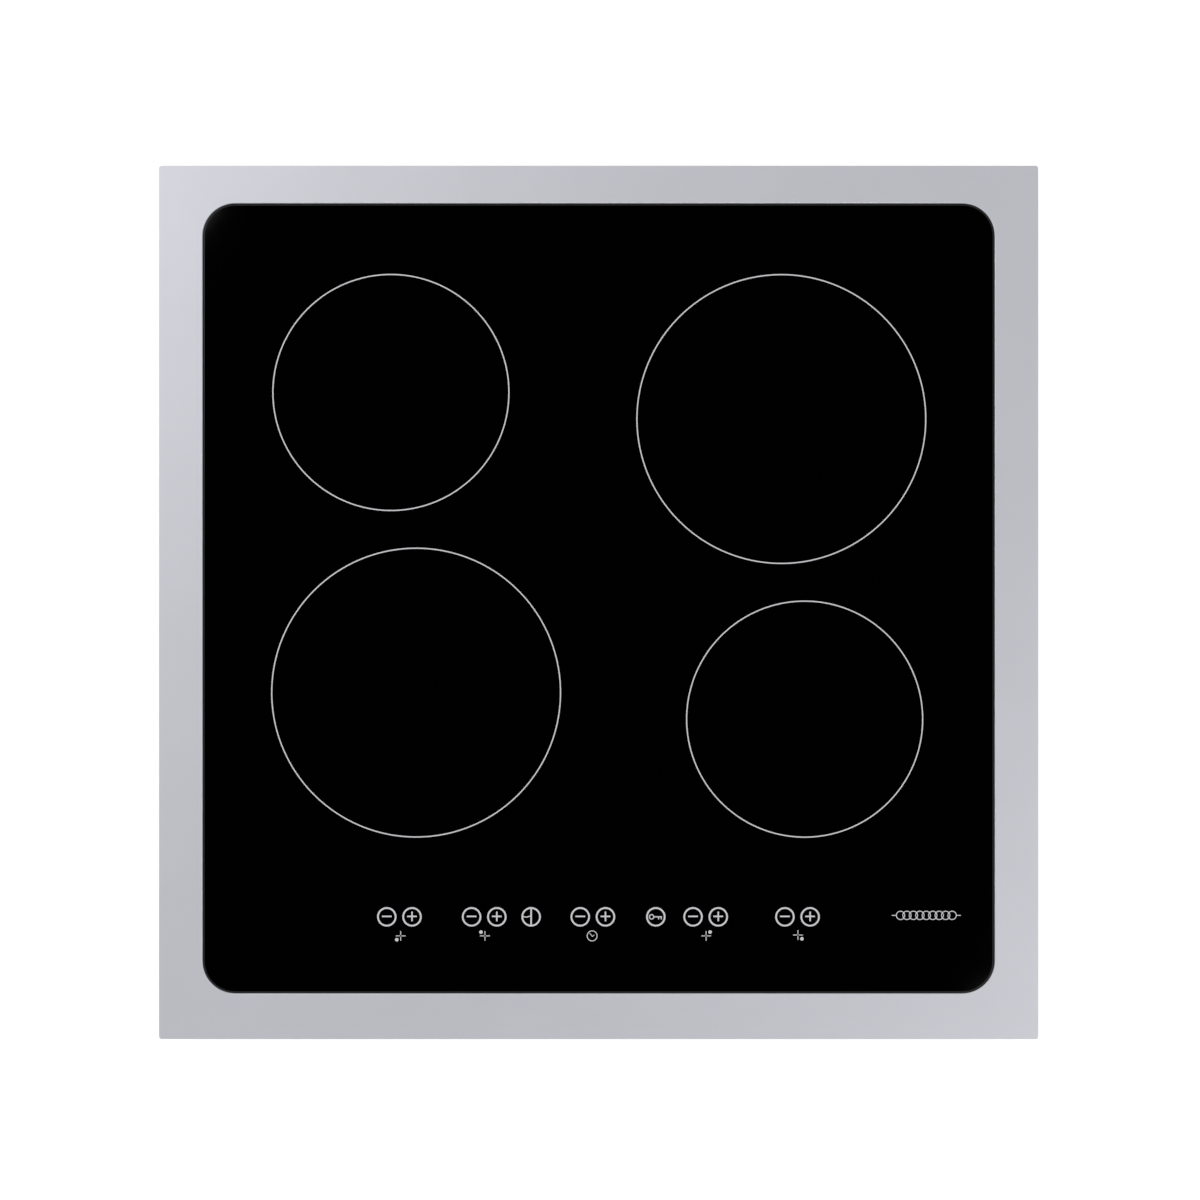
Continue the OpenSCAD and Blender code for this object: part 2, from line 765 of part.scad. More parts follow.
module hinge_lug(s) {
    x = s > 0 ? lug_x : [-lug_x[1], -lug_x[0]];
    lug_r = 3.2;
    lug_z = [39.2, 42.8];
    difference() {
        union() {
            block(x, [box_y[1] - 10, hinge_y], lug_z);
            block(x, [box_y[1] - 10, box_y[1] - 3], [lug_z[0], box_z[1] - 1]);
            block(x, [rear_face + 0.4, hinge_y + lug_r], [lug_z[0], hinge_z]);
            along_x(x, lug_r);
        }
        along_x([x[0] - eps, x[1] + eps], hinge_pin_r + 0.05);
    }
}

module terminal_block() {
    poles = 6;
    pitch = 2 * block_x / poles;
    wall = 1.5;
    top = 28;
    color("ivory") difference() {
        block([-block_x, block_x], block_y, [box_z[0] + box_wall, top]);
        for (k = [0:poles - 1]) translate([(k - (poles - 1) / 2) * pitch, 0, 0]) {
            translate([0, block_y[1] - 7, top - 9]) cylinder(r = 4, h = 9 + eps);
            block([wall - pitch / 2, pitch / 2 - wall], [block_y[1] - 9, block_y[1] + eps], [6, 15]);
        }
    }
}

module terminal_cover() {
    plate_y = [rear_face + 1, rear_face + 3];
    neck_x = lug_x[0] - 0.5;
    color([0.16, 0.16, 0.17]) {
        block([-63, 63], plate_y, [6, 37.5]);
        block([-neck_x, neck_x], plate_y, [37, hinge_z]);
        along_x([-neck_x, neck_x], 3);
        along_x([0.5 - lug_x[1], lug_x[1] - 0.5], hinge_pin_r);
    }
}

module cable_gland() {
    out = 2.5;
    inside = 3;
    depth = out + casing_t + inside;
    color([0.1, 0.1, 0.1]) on_wall([gland_x, rear_face + out, gland_z], 180) translate([0, 0, -depth])
        difference() {
            union() {
                translate([0, 0, depth - out]) cylinder(r = 12, h = out);
                cylinder(r = gland_hole_r - 0.1, h = depth - 0.5);
                cylinder(r = 11, h = inside, $fn = 6);
            }
            translate([0, 0, -eps]) cylinder(r = gland_r, h = depth + 2 * eps);
        }
}

// ---- worktop clamps, drawn for the right side with the screw's axis at x = 0, y = 0 ----

module at_clamp(c) {
    on_side(CLAMPS[c][1]) translate([clamp_x, CLAMPS[c][2], 0]) children();
}

module clamp_brackets() {
    wall_x = side_face - clamp_x;
    plate_t = 1;
    ear_t = 1.2;
    ears_z = [3, 42.8];
    color("silver") for (c = [0:3]) at_clamp(c) difference() {
        union() {
            block([wall_x, wall_x + plate_t], [-7, 7], [ears_z[0], ears_z[1] + ear_t]);
            for (z = ears_z) block([wall_x, nut[0] / 2], [-7, 7], [z, z + ear_t]);
        }
        cylinder(r = clamp_screw_r + 0.3, h = glass_top_z);
    }
}

// Turned from below, the screw climbs the nut and its arm up to the worktop.
module clamp_screws() {
    head_z = 3;
    color("silver") for (c = [0:3]) at_clamp(c)
        translate([0, 0, head_z]) rotate([180, 0, 0]) screw(clamp_screw_r, 43, 3.8, 2.4);
}

module clamp_nut(c) {
    collar_top = clamp_z + nut[2] + 3;
    color("gold") at_clamp(c) difference() {
        union() {
            translate([-nut[0] / 2, -nut[1] / 2, clamp_z]) cube(nut);
            translate([0, 0, clamp_z + 1]) cylinder(r = collar_r, h = collar_top - clamp_z - 1);
            translate([0, 0, collar_top - 0.2]) cylinder(r = collar_r + 0.8, h = 0.6);
        }
        cylinder(r = clamp_screw_r + 0.05, h = glass_top_z);
    }
}

module clamp_arm(c) {
    root_r = nut[0] / 2 - 0.1;
    tooth = 1.5;
    z = clamp_z + nut[2] + 0.1;
    color("silver") at_clamp(c) translate([0, 0, z]) difference() {
        union() {
            cylinder(r = root_r, h = arm_t);
            block([-root_r, root_r], [0, arm_l], [0, arm_t]);
            block([-root_r, root_r], [arm_l - 2, arm_l], [0, arm_t + tooth]);
        }
        translate([0, 0, -eps]) cylinder(r = collar_r + 0.05, h = arm_t + 2 * eps);
    }
}

// ---- wires ----

// Each lead leaves its winding's edge, bends down through the tray and ends on a board terminal.
module coil_leads() {
    bend_z = winding_z + winding_t / 2;
    color("firebrick") for (i = [0:3], s = [-1, 1])
        translate(zone_at(i, bend_z) + [s * lead_gap / 2, ZONES[i][4] * coil_r(i), 0])
            rotate([-ZONES[i][4] * 90, 0, 0])
                wire(lead_r, [[lead_out - lead_bend, lead_bend, 90, ZONES[i][4] * 90],
                              [bend_z - lead_bend - board_top - terminal_h, 0, 0, 0]]);
}

// A wire that climbs from p to height z1, runs forward and then drops or climbs to height z2.
module arch(p, r, z1, run, z2) {
    bend = 5;
    translate(p) wire(r, [[z1 - p[2] - bend, bend, 90, -90],
                          [run - 2 * bend, bend, 90, z2 < z1 ? 0 : 180],
                          [abs(z1 - z2) - bend, 0, 0, 0]]);
}

// A wire that leaves p forwards, bends down at y and ends at height z.
module drop(p, r, bend, y, z) {
    translate(p) rotate([90, 0, 0])
        wire(r, [[p[1] - y - bend, bend, 90, -90], [p[2] - bend - z, 0, 0, 0]]);
}

module wiring_harness() {
    r = 1.1;
    z = board_top + terminal_h;
    fan_lead = [fan_at[1] - 16, casing_t + fan_h + r]; // where it leaves the housing's top
    color("dimgray") {
        for (x = mains_x) drop([x, block_y[0], block_wire_z], r, block_wire_z - z, filter_in_y, z);
        both_sides() {
            for (x = supply_x) arch([x, filter_out_y, z], r, z + 8, filter_out_y - supply_y, z);
            for (x = ribbon_x) arch([x, ribbon_y[0], z], r, 32, ribbon_y[0] - ribbon_y[1], ui_z);
            for (x = fan_lead_x) drop([x, fan_lead[0], fan_lead[1]], r, 5, supply_y, z);
        }
    }
}

// ---- nodes ----

glass_top();
trim_frame();
glass_adhesive();
worktop_seal();
zone_ring_print();
control_symbol_print();
base_casing();
casing_screws();
tray_posts();
board_carriers();
power_transistors();
fan_motors();
coil_leads();
wiring_harness();
ui_carrier();
ui_board();
touch_pads();
filter_board();
terminal_housing();
terminal_block();
terminal_cover();
cable_gland();
clamp_brackets();
clamp_screws();
for (i = [0:3]) {
    coil_winding(i);
    coil_carrier(i);
    clamp_nut(i);
    clamp_arm(i);
}
for (s = [["left", -1], ["right", 1]]) {
    ferrite_bars(s[1]);
    mica_sheets(s[1]);
    temperature_sensors(s[1]);
    coil_tray(s[1]);
    tray_springs(s[1]);
    power_board(s[1]);
    heat_sink(s[1]);
    board_components(s[1]);
    fan_housing(s[1]);
    fan_impeller(s[1]);
}
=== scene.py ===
"""An electric induction cooktop with four zones: surfaces, fine shapes, light and camera."""

import math

import bmesh
import bpy
from mathutils import Matrix, Vector
from mathutils.geometry import tessellate_polygon


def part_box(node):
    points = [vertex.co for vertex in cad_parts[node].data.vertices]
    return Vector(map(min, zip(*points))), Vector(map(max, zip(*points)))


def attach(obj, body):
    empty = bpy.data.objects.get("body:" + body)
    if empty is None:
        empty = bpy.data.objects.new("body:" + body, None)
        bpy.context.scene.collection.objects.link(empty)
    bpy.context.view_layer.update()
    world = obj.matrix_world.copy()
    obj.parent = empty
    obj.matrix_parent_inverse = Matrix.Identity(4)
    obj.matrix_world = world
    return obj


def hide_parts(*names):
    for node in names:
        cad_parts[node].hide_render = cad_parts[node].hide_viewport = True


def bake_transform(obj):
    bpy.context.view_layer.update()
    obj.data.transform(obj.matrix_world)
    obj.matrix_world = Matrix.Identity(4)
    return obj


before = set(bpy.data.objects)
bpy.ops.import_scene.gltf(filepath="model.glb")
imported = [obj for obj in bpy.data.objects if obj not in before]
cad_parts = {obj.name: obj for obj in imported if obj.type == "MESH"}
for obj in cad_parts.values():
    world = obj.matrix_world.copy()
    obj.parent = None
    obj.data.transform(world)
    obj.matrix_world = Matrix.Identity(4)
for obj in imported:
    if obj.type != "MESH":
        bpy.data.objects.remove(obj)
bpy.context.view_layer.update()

# Every length below is in millimetres, and Piece.place turns it into metres.
MM = 0.001
TAU = 2 * math.pi
UP = Vector((0, 0, 1))
SIDES = (("left", -1), ("right", 1))
ZONES = ("rear_left", "rear_right", "front_left", "front_right")


# ---- places, read from the frame ----

def box(node):
    """The lowest and highest corner of a CAD node."""
    low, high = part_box(node)
    return low / MM, high / MM


def middle(node):
    low, high = box(node)
    return (low + high) / 2


def islands(node):
    """(lowest corner, highest corner, number of points) of each separate solid in a CAD node."""
    mesh = bmesh.new()
    mesh.from_mesh(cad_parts[node].data)
    bmesh.ops.remove_doubles(mesh, verts=mesh.verts, dist=MM * MM)
    seen = set()
    found = []
    for start in mesh.verts:
        if start in seen:
            continue
        seen.add(start)
        group = [start]
        for v in group:
            near = [e.other_vert(v) for e in v.link_edges]
            group += [n for n in dict.fromkeys(near) if n not in seen]
            seen.update(near)
        spans = [[v.co[axis] / MM for v in group] for axis in range(3)]
        found.append((Vector([min(s) for s in spans]), Vector([max(s) for s in spans]), len(group)))
    mesh.free()
    return found


FRAME_LOW, FRAME_HIGH = box("trim_frame")
GLASS_LOW, GLASS_HIGH = box("glass_top")
CASING_LOW, CASING_HIGH = box("base_casing")
TOP = FRAME_HIGH.z
JOINT = 0.5  # width of the silicone joint round the glass
SHEET = 0.8  # thickness of the frame's and the casing's steel
OPENING_W = GLASS_HIGH.x + JOINT
OPENING_D = (GLASS_HIGH.y - GLASS_LOW.y) / 2 + JOINT
OPENING_Y = (GLASS_HIGH.y + GLASS_LOW.y) / 2
OPENING_R = 22
LEDGE_TOP = GLASS_LOW.z - JOINT
LEDGE_UNDER = LEDGE_TOP - SHEET
LEDGE_W = 10
FOLD_Z = TOP - 5
COIL_INSET = 8.5  # from a zone's printed ring to the edge of its winding


# ---- shapes ----

def turn(quarter, k, steps):
    return (quarter + k / steps) * TAU / 4


def polar(r, a, z=0):
    return Vector((r * math.cos(a), r * math.sin(a), z))


def rounded_ring(w, d, r, z, mid_y=0.0, steps=12):
    """Points of a rounded rectangle with the half sizes w and d."""
    corners = ((1, 1), (-1, 1), (-1, -1), (1, -1))
    return [Vector((sx * (w - r) + r * math.cos(turn(q, k, steps)),
                    mid_y + sy * (d - r) + r * math.sin(turn(q, k, steps)), z))
            for q, (sx, sy) in enumerate(corners) for k in range(steps + 1)]


def outer_ring(inset, z):
    """A ring that follows the outside of the trim frame."""
    corner, least = 2, 0.4
    return rounded_ring(FRAME_HIGH.x - inset, FRAME_HIGH.y - inset, max(corner - inset, least), z)


def opening_ring(grow, z):
    """A ring that follows the opening for the glass."""
    return rounded_ring(OPENING_W + grow, OPENING_D + grow, OPENING_R + grow, z, OPENING_Y)


def opening_rings(points):
    return [opening_ring(grow, z) for grow, z in points]


def quarter_arc(u, v, r, start):
    """Points (u, v) on a quarter circle that starts at the angle start and turns anticlockwise."""
    steps = 5
    angles = [start + k / steps * TAU / 4 for k in range(steps + 1)]
    return [(u + r * math.cos(a), v + r * math.sin(a)) for a in angles]


def circle(r, n=32, x=0.0, y=0.0):
    angles = [k * TAU / n for k in range(n)]
    return [Vector((x + r * math.cos(a), y + r * math.sin(a), 0)) for a in angles]


def capsule(length, width, steps=8):
    """The outline of a slot along X with round ends."""
    r = width / 2
    half = length / 2 - r
    return [Vector((s * half + r * math.cos(a), r * math.sin(a), 0))
            for s, start in ((1, -TAU / 4), (-1, TAU / 4))
            for a in (start + k / steps * TAU / 2 for k in range(steps + 1))]


def rectangle(w, d):
    return [Vector((x * w / 2, y * d / 2, 0)) for x, y in ((1, 1), (-1, 1), (-1, -1), (1, -1))]


def shift(x, y, z=0):
    return Matrix.Translation((x, y, z))


def spun(angle):
    return Matrix.Rotation(angle, 4, "Z")


def on_wall(x, y, z, heading):
    """The place of a shape on a wall: its Z goes outwards and its Y up; heading 0 is the front."""
    return shift(x, y, z) @ spun(math.radians(heading)) @ Matrix.Rotation(TAU / 4, 4, "X")


def bends(corners, r, steps=6):
    """A path through the corners, rounded off at each of them."""
    corners = [Vector(c) for c in corners]
    path = [corners[0]]
    for a, b, c in zip(corners, corners[1:], corners[2:]):
        back, on = (a - b).normalized(), (c - b).normalized()
        reach = r / math.tan(back.angle(on) / 2)
        centre = b + (back + on).normalized() * math.hypot(r, reach)
        start, end = b + back * reach - centre, b + on * reach - centre
        path += [centre + r * start.slerp(end, k / steps) for k in range(steps + 1)]
    return path + [corners[-1]]


def frames_along(path, up=None):
    """Each point of a path with a sideways and an upwards direction across it."""
    side = None
    for k, point in enumerate(path):
        heading = (path[min(k + 1, len(path) - 1)] - path[max(k - 1, 0)]).normalized()
        if up is not None:
            side = heading.cross(up).normalized()
        elif side is None:
            side = heading.cross(UP if abs(heading.z) < 0.9 else Vector((1, 0, 0))).normalized()
        else:
            side = (side - heading * side.dot(heading)).normalized()
        yield point, side, side.cross(heading)


class Piece:
    """Gathers closed solids and makes one object of them."""

    def __init__(self):
        self.mesh = bmesh.new()

    def loft(self, rings, looped=False):
        """Joins rings of points into a skin, closed by caps or by joining the last to the first."""
        rows = [[self.mesh.verts.new(p) for p in ring] for ring in rings]
        following = rows[1:] + (rows[:1] if looped else [])
        for a, b in zip(rows, following):
            for k in range(len(a)):
                j = (k + 1) % len(a)
                self.mesh.faces.new((a[k], a[j], b[j], b[k]))
        if not looped:
            self.mesh.faces.new(rows[0][::-1])
            self.mesh.faces.new(rows[-1])

    def prism(self, loops, low, high, place=Matrix()):
        """An outline with holes in it, drawn from height low to high."""
        flat = [p for loop in loops for p in loop]
        lower = [self.mesh.verts.new(place @ (p + UP * low)) for p in flat]
        upper = [self.mesh.verts.new(place @ (p + UP * high)) for p in flat]
        for a, b, c in tessellate_polygon(loops):
            self.mesh.faces.new((lower[a], lower[b], lower[c]))
            self.mesh.faces.new((upper[a], upper[b], upper[c]))
        first = 0
        for loop in loops:
            for k in range(len(loop)):
                a, b = first + k, first + (k + 1) % len(loop)
                self.mesh.faces.new((lower[a], lower[b], upper[b], upper[a]))
            first += len(loop)

    def block(self, low, high):
        centre = [(a + b) / 2 for a, b in zip(low, high)]
        outline = rectangle(high[0] - low[0], high[1] - low[1])
        self.prism([outline], low[2], high[2], shift(centre[0], centre[1]))

    def lathe(self, profile, place=Matrix(), n=48, closed=False):
        """Turns (radius, height) points about Z."""
        rings = [[place @ (p + UP * z) for p in circle(r, n)] for r, z in profile]
        self.loft(rings, looped=closed)

    def sweep(self, path, section, up=None):
        """Draws a section of (sideways, upwards) points along a path."""
        self.loft([[p + side * u + rise * v for u, v in section]
                   for p, side, rise in frames_along(path, up)])

    def wire(self, path, r, sides):
        self.sweep(path, [(p.x, p.y) for p in circle(r, sides)])

    def object(self, name):
        bmesh.ops.recalc_face_normals(self.mesh, faces=self.mesh.faces)
        bmesh.ops.scale(self.mesh, vec=(MM, MM, MM), verts=self.mesh.verts)
        data = bpy.data.meshes.new(name)
        self.mesh.to_mesh(data)
        self.mesh.free()
        made = bpy.data.objects.new(name, data)
        bpy.context.collection.objects.link(made)
        return made

    def place(self, name, slot, stands_for=(), **rest):
        return dress(self.object(name), slot, stands_for, **rest)


def dress(made, slot, stands_for=(), body="cooktop", material=None, edge=0.0, at=(0, 0, 0)):
    """Gives an object a material (its slot's own if none is named), rounded edges and even
    shading, and hands it to its body; a body given as a tuple only has the object's place baked
    into its mesh."""
    made.data.materials.append(material or PAINT[slot])
    made.location = Vector(at) * MM
    made.data.shade_smooth()
    made.data.set_sharp_from_angle(angle=SHARP)
    if edge:
        round_edges(made, edge)
    even = made.modifiers.new("even shading", "WEIGHTED_NORMAL")
    even.keep_sharp = True
    if isinstance(body, tuple):
        bpy.context.view_layer.update()
        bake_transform(made)
    else:
        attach(made, body)
    if stands_for:
        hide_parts(*stands_for)
    return made


SHARP = math.radians(40)  # an edge with a larger angle is sharp, and may be rounded


def round_edges(made, width):
    rounding = made.modifiers.new("rounded edges", "BEVEL")
    rounding.width = width * MM
    rounding.segments = 2
    rounding.limit_method = "ANGLE"
    rounding.angle_limit = SHARP
    rounding.harden_normals = True


# ---- materials ----

class Paint:
    """A principled material, with short calls for the nodes that give it detail."""

    def __init__(self, name, colour, rough, metal=0.0, **sockets):
        self.material = bpy.data.materials.new(name)
        self.material.use_nodes = True
        self.tree = self.material.node_tree
        self.shader = self.tree.nodes["Principled BSDF"]
        self.colour = colour
        self.rough = rough
        self.shader.inputs["Base Color"].default_value = (*colour, 1)
        self.shader.inputs["Roughness"].default_value = rough
        self.shader.inputs["Metallic"].default_value = metal
        for socket, value in sockets.items():
            self.shader.inputs[socket.replace("_", " ")].default_value = value

    def node(self, kind, **settings):
        made = self.tree.nodes.new("ShaderNode" + kind)
        for name, value in settings.items():
            if hasattr(made, name):
                setattr(made, name, value)
            else:
                made.inputs[name.replace("_", " ")].default_value = value
        return made

    def link(self, out, into):
        self.tree.links.new(out, into)

    def where(self, stretch=(1, 1, 1), heading=0.0):
        """Places on the object, stretched or turned about Z."""
        mapping = self.node("Mapping", Scale=stretch, Rotation=(0, 0, heading))
        self.link(self.node("TexCoord").outputs["Object"], mapping.inputs["Vector"])
        return mapping.outputs["Vector"]

    def noise(self, size, stretch=(1, 1, 1), detail=4.0):
        """Soft noise with features of the given size in millimetres."""
        noise = self.node("TexNoise", Scale=1 / (size * MM), Detail=detail, Roughness=0.6)
        self.link(self.where(stretch), noise.inputs["Vector"])
        return noise.outputs["Fac"]

    def cells(self, size, output="Distance"):
        cells = self.node("TexVoronoi", Scale=1 / (size * MM))
        self.link(self.where(), cells.inputs["Vector"])
        return cells.outputs[output]

    def tracks(self, size, heading):
        """Thin parallel lines that step aside now and then, and join."""
        place = self.where(heading=heading)
        lines = self.node("TexBrick", Scale=1 / (size * MM), Mortar_Size=0.03,
                          Brick_Width=2.6, Row_Height=0.16)
        self.link(place, lines.inputs["Vector"])
        return lines.outputs["Fac"]

    def axes(self):
        """The X, Y and Z of a place on the object."""
        split = self.node("SeparateXYZ")
        self.link(self.where(), split.inputs["Vector"])
        return [split.outputs[axis] for axis in "XYZ"]

    def channels(self, colour):
        """The red and the green of a colour."""
        split = self.node("SeparateColor")
        self.link(colour, split.inputs["Color"])
        return split.outputs["Red"], split.outputs["Green"]

    def math(self, operation, a, b=0.0):
        made = self.node("Math", operation=operation)
        for value, socket in ((a, made.inputs[0]), (b, made.inputs[1])):
            if isinstance(value, (int, float)):
                socket.default_value = value
            else:
                self.link(value, socket)
        return made.outputs["Value"]

    def spread(self, factor, low, high, start=0.3, end=0.7):
        made = self.node("MapRange")
        for socket, value in zip(made.inputs[1:5], (start, end, low, high)):
            socket.default_value = value
        self.link(factor, made.inputs["Value"])
        return made.outputs["Result"]

    def mottle(self, factor, amount, start=0.3, end=0.7):
        """Lightens and darkens the colour by the given share."""
        tints = [tuple(min(1, c * (1 + s * amount)) for c in self.colour) for s in (-1, 1)]
        self.colours(self.spread(factor, 0, 1, start, end), *tints)

    def mix(self, factor, first, second):
        """A colour between two, each of them a colour or a node's output."""
        mix = self.node("Mix", data_type="RGBA")
        for socket, colour in ((mix.inputs[6], first), (mix.inputs[7], second)):
            if isinstance(colour, tuple):
                socket.default_value = (*colour, 1)
            else:
                self.link(colour, socket)
        self.link(factor, mix.inputs["Factor"])
        return mix.outputs[2]

    def colours(self, factor, first, second):
        self.link(self.mix(factor, first, second), self.shader.inputs["Base Color"])

    def gloss(self, factor, amount):
        """Varies the roughness by the given amount."""
        low, high = max(0.01, self.rough - amount), self.rough + amount
        self.link(self.spread(factor, low, high), self.shader.inputs["Roughness"])

    def bump(self, height, depth):
        """Raises the surface by up to depth millimetres."""
        bump = self.node("Bump", Strength=1.0, Distance=depth * MM)
        self.link(height, bump.inputs["Height"])
        self.link(bump.outputs["Normal"], self.shader.inputs["Normal"])
        return self.material


def moulded(name, colour, rough, grain=0.35, depth=0.02):
    """Injection-moulded plastic: a fine eroded grain with faint cloudy gloss."""
    paint = Paint(name, colour, rough)
    paint.mottle(paint.noise(14), 0.12)
    paint.gloss(paint.noise(5), 0.07)
    return paint.bump(paint.noise(grain, detail=2), depth)


def plated(name, colour, rough=0.32, cloud=3.0):
    """Zinc-plated steel: cloudy colour and fine pits."""
    paint = Paint(name, colour, rough, metal=1.0)
    paint.mottle(paint.noise(cloud), 0.1)
    paint.gloss(paint.noise(cloud / 3), 0.1)
    return paint.bump(paint.noise(0.25, detail=3), 0.01)


def rolled(name, colour, rough, along, depth=0.006):
    """Sheet metal with fine lines from rolling or brushing, drawn out along one axis."""
    paint = Paint(name, colour, rough, metal=1.0)
    stretch = tuple(0.02 if axis == along else 1 for axis in "XYZ")
    lines = paint.noise(0.3, stretch, detail=3)
    paint.mottle(paint.noise(40), 0.02)
    paint.gloss(lines, 0.04)
    return paint.bump(lines, depth)


def galvanised():
    """Hot-dip galvanised sheet: crystals a few millimetres wide, each with its own sheen."""
    paint = Paint("galvanised_steel", (0.5, 0.52, 0.54), 0.42, metal=0.9)
    tint, sheen = paint.channels(paint.cells(6, "Color"))
    paint.mottle(tint, 0.1, 0, 1)
    paint.link(paint.spread(sheen, 0.34, 0.52, 0, 1), paint.shader.inputs["Roughness"])
    return paint.bump(paint.noise(1.2), 0.015)


def black_glass():
    """Glass ceramic: black right through, polished, with the faintest waviness."""
    paint = Paint("black_glass_ceramic", (0.0003, 0.0003, 0.00035), 0.035, IOR=1.54)
    paint.gloss(paint.noise(60), 0.015)
    return paint.bump(paint.noise(45, detail=1), 0.002)


def satin_steel():
    paint = Paint("satin_steel", (0.79, 0.8, 0.845), 0.48, metal=1.0)
    lines = paint.noise(0.35, (0.015, 1, 1), detail=3)
    paint.mottle(paint.noise(70), 0.012)
    paint.gloss(lines, 0.02)
    return paint.bump(lines, 0.0025)


def printed_enamel():
    """Enamel fired onto the glass: matt, in a fine dot screen."""
    paint = Paint("fired_enamel", (0.73, 0.73, 0.75), 0.55)
    paint.mottle(paint.cells(0.4), 0.05, 0, 0.5)
    return paint.bump(paint.noise(0.2, detail=2), 0.005)


def rubbery(name, colour, rough, cell, depth):
    """Foam or rubber with a skin of cells of the given size."""
    paint = Paint(name, colour, rough)
    paint.mottle(paint.noise(cell * 3), 0.25)
    return paint.bump(paint.cells(cell), depth)


def braid():
    """Glass-fibre sleeve: two sets of strands that cross."""
    paint = Paint("braided_sleeve", (0.38, 0.055, 0.04), 0.7)
    x, y, z = paint.axes()
    along = paint.math("ADD", y, z)
    slope, strand = 1.6, 0.9
    crossings = []
    for sign in (-1, 1):
        slant = paint.math("ADD", along, paint.math("MULTIPLY", x, sign * slope))
        crossings.append(paint.math("SINE", paint.math("MULTIPLY", slant, TAU / (strand * MM))))
    weave = paint.math("MAXIMUM", *crossings)
    # Painted shade and highlight: the colour darkens in the gaps between the crossing strands and
    # lightens where they stand high, following the same pattern as the bump
    paint.mottle(weave, 0.25, -0.5, 1)
    return paint.bump(weave, 0.08)


def litz():
    """Varnished copper strands twisted into the wire, slanting across each turn."""
    paint = Paint("litz_copper", (0.62, 0.26, 0.1), 0.34, metal=0.85)
    x, y, z = paint.axes()
    angle = paint.math("ARCTAN2", y, x)
    squares = [paint.math("MULTIPLY", side, side) for side in (x, y)]
    radius = paint.math("SQRT", paint.math("ADD", *squares))
    strands, strand = 260, 1.1
    turns = paint.math("MULTIPLY", angle, strands)
    slant = paint.math("MULTIPLY", paint.math("ADD", radius, z), TAU / (strand * MM))
    twist = paint.math("SINE", paint.math("ADD", turns, slant))
    # Painted shade and highlight: the colour darkens in the grooves between the strands and
    # lightens on their crests, following the same pattern as the bump
    paint.mottle(twist, 0.3, -1, 1)
    paint.gloss(paint.noise(6), 0.08)
    return paint.bump(twist, 0.12)


def circuit_board():
    """Solder mask over copper: solid areas, tracks that run along or across, and tinned pads whose
    middles are painted near black as the shade of a hole.
    """
    paint = Paint("circuit_board", (0.012, 0.09, 0.035), 0.32)
    area = paint.node("TexVoronoi", voronoi_dimensions="2D", distance="CHEBYCHEV",
                      Scale=1 / (17 * MM))
    paint.link(paint.where((1, 0.7, 1)), area.inputs["Vector"])
    kind, _ = paint.channels(area.outputs["Color"])
    solid = paint.math("GREATER_THAN", kind, 0.72)
    across = paint.math("GREATER_THAN", kind, 0.36)
    along = paint.math("SUBTRACT", 1, across)
    rows = paint.math("MULTIPLY", paint.tracks(11, 0), along)
    columns = paint.math("MULTIPLY", paint.tracks(9, TAU / 4), across)
    copper = paint.math("MAXIMUM", paint.math("MAXIMUM", rows, columns), solid)
    holes = paint.node("TexVoronoi", voronoi_dimensions="2D", Scale=1 / (7.5 * MM), Randomness=0.8)
    paint.link(paint.where(), holes.inputs["Vector"])
    far = holes.outputs["Distance"]
    tin = paint.math("LESS_THAN", far, 0.1)
    # Painted shade: the middle of each tinned pad is painted near black for the darkness of a hole
    # that the mesh doesn't have
    painted_hole_shade = paint.math("LESS_THAN", far, 0.045)
    mask = paint.mix(copper, (0.009, 0.075, 0.03), (0.025, 0.16, 0.06))
    pads = paint.mix(tin, mask, (0.55, 0.55, 0.52))
    paint.colours(painted_hole_shade, pads, (0.01, 0.01, 0.01))
    paint.gloss(paint.noise(3), 0.06)
    return paint.bump(paint.math("MAXIMUM", copper, tin), 0.05)


def flaked(name, colour, size, depth, rough):
    """Mica, ferrite or ceramic: grains or flakes of the given size."""
    paint = Paint(name, colour, rough)
    paint.mottle(paint.cells(size), 0.22, 0, 0.8)
    paint.gloss(paint.noise(size), 0.12)
    return paint.bump(paint.noise(size / 2), depth)


def cast(name, colour, rough):
    """Cast, turned or tinned metal with fine pits."""
    paint = Paint(name, colour, rough, metal=1.0)
    paint.mottle(paint.noise(2), 0.08)
    paint.gloss(paint.noise(1), 0.08)
    return paint.bump(paint.noise(0.4), 0.02)


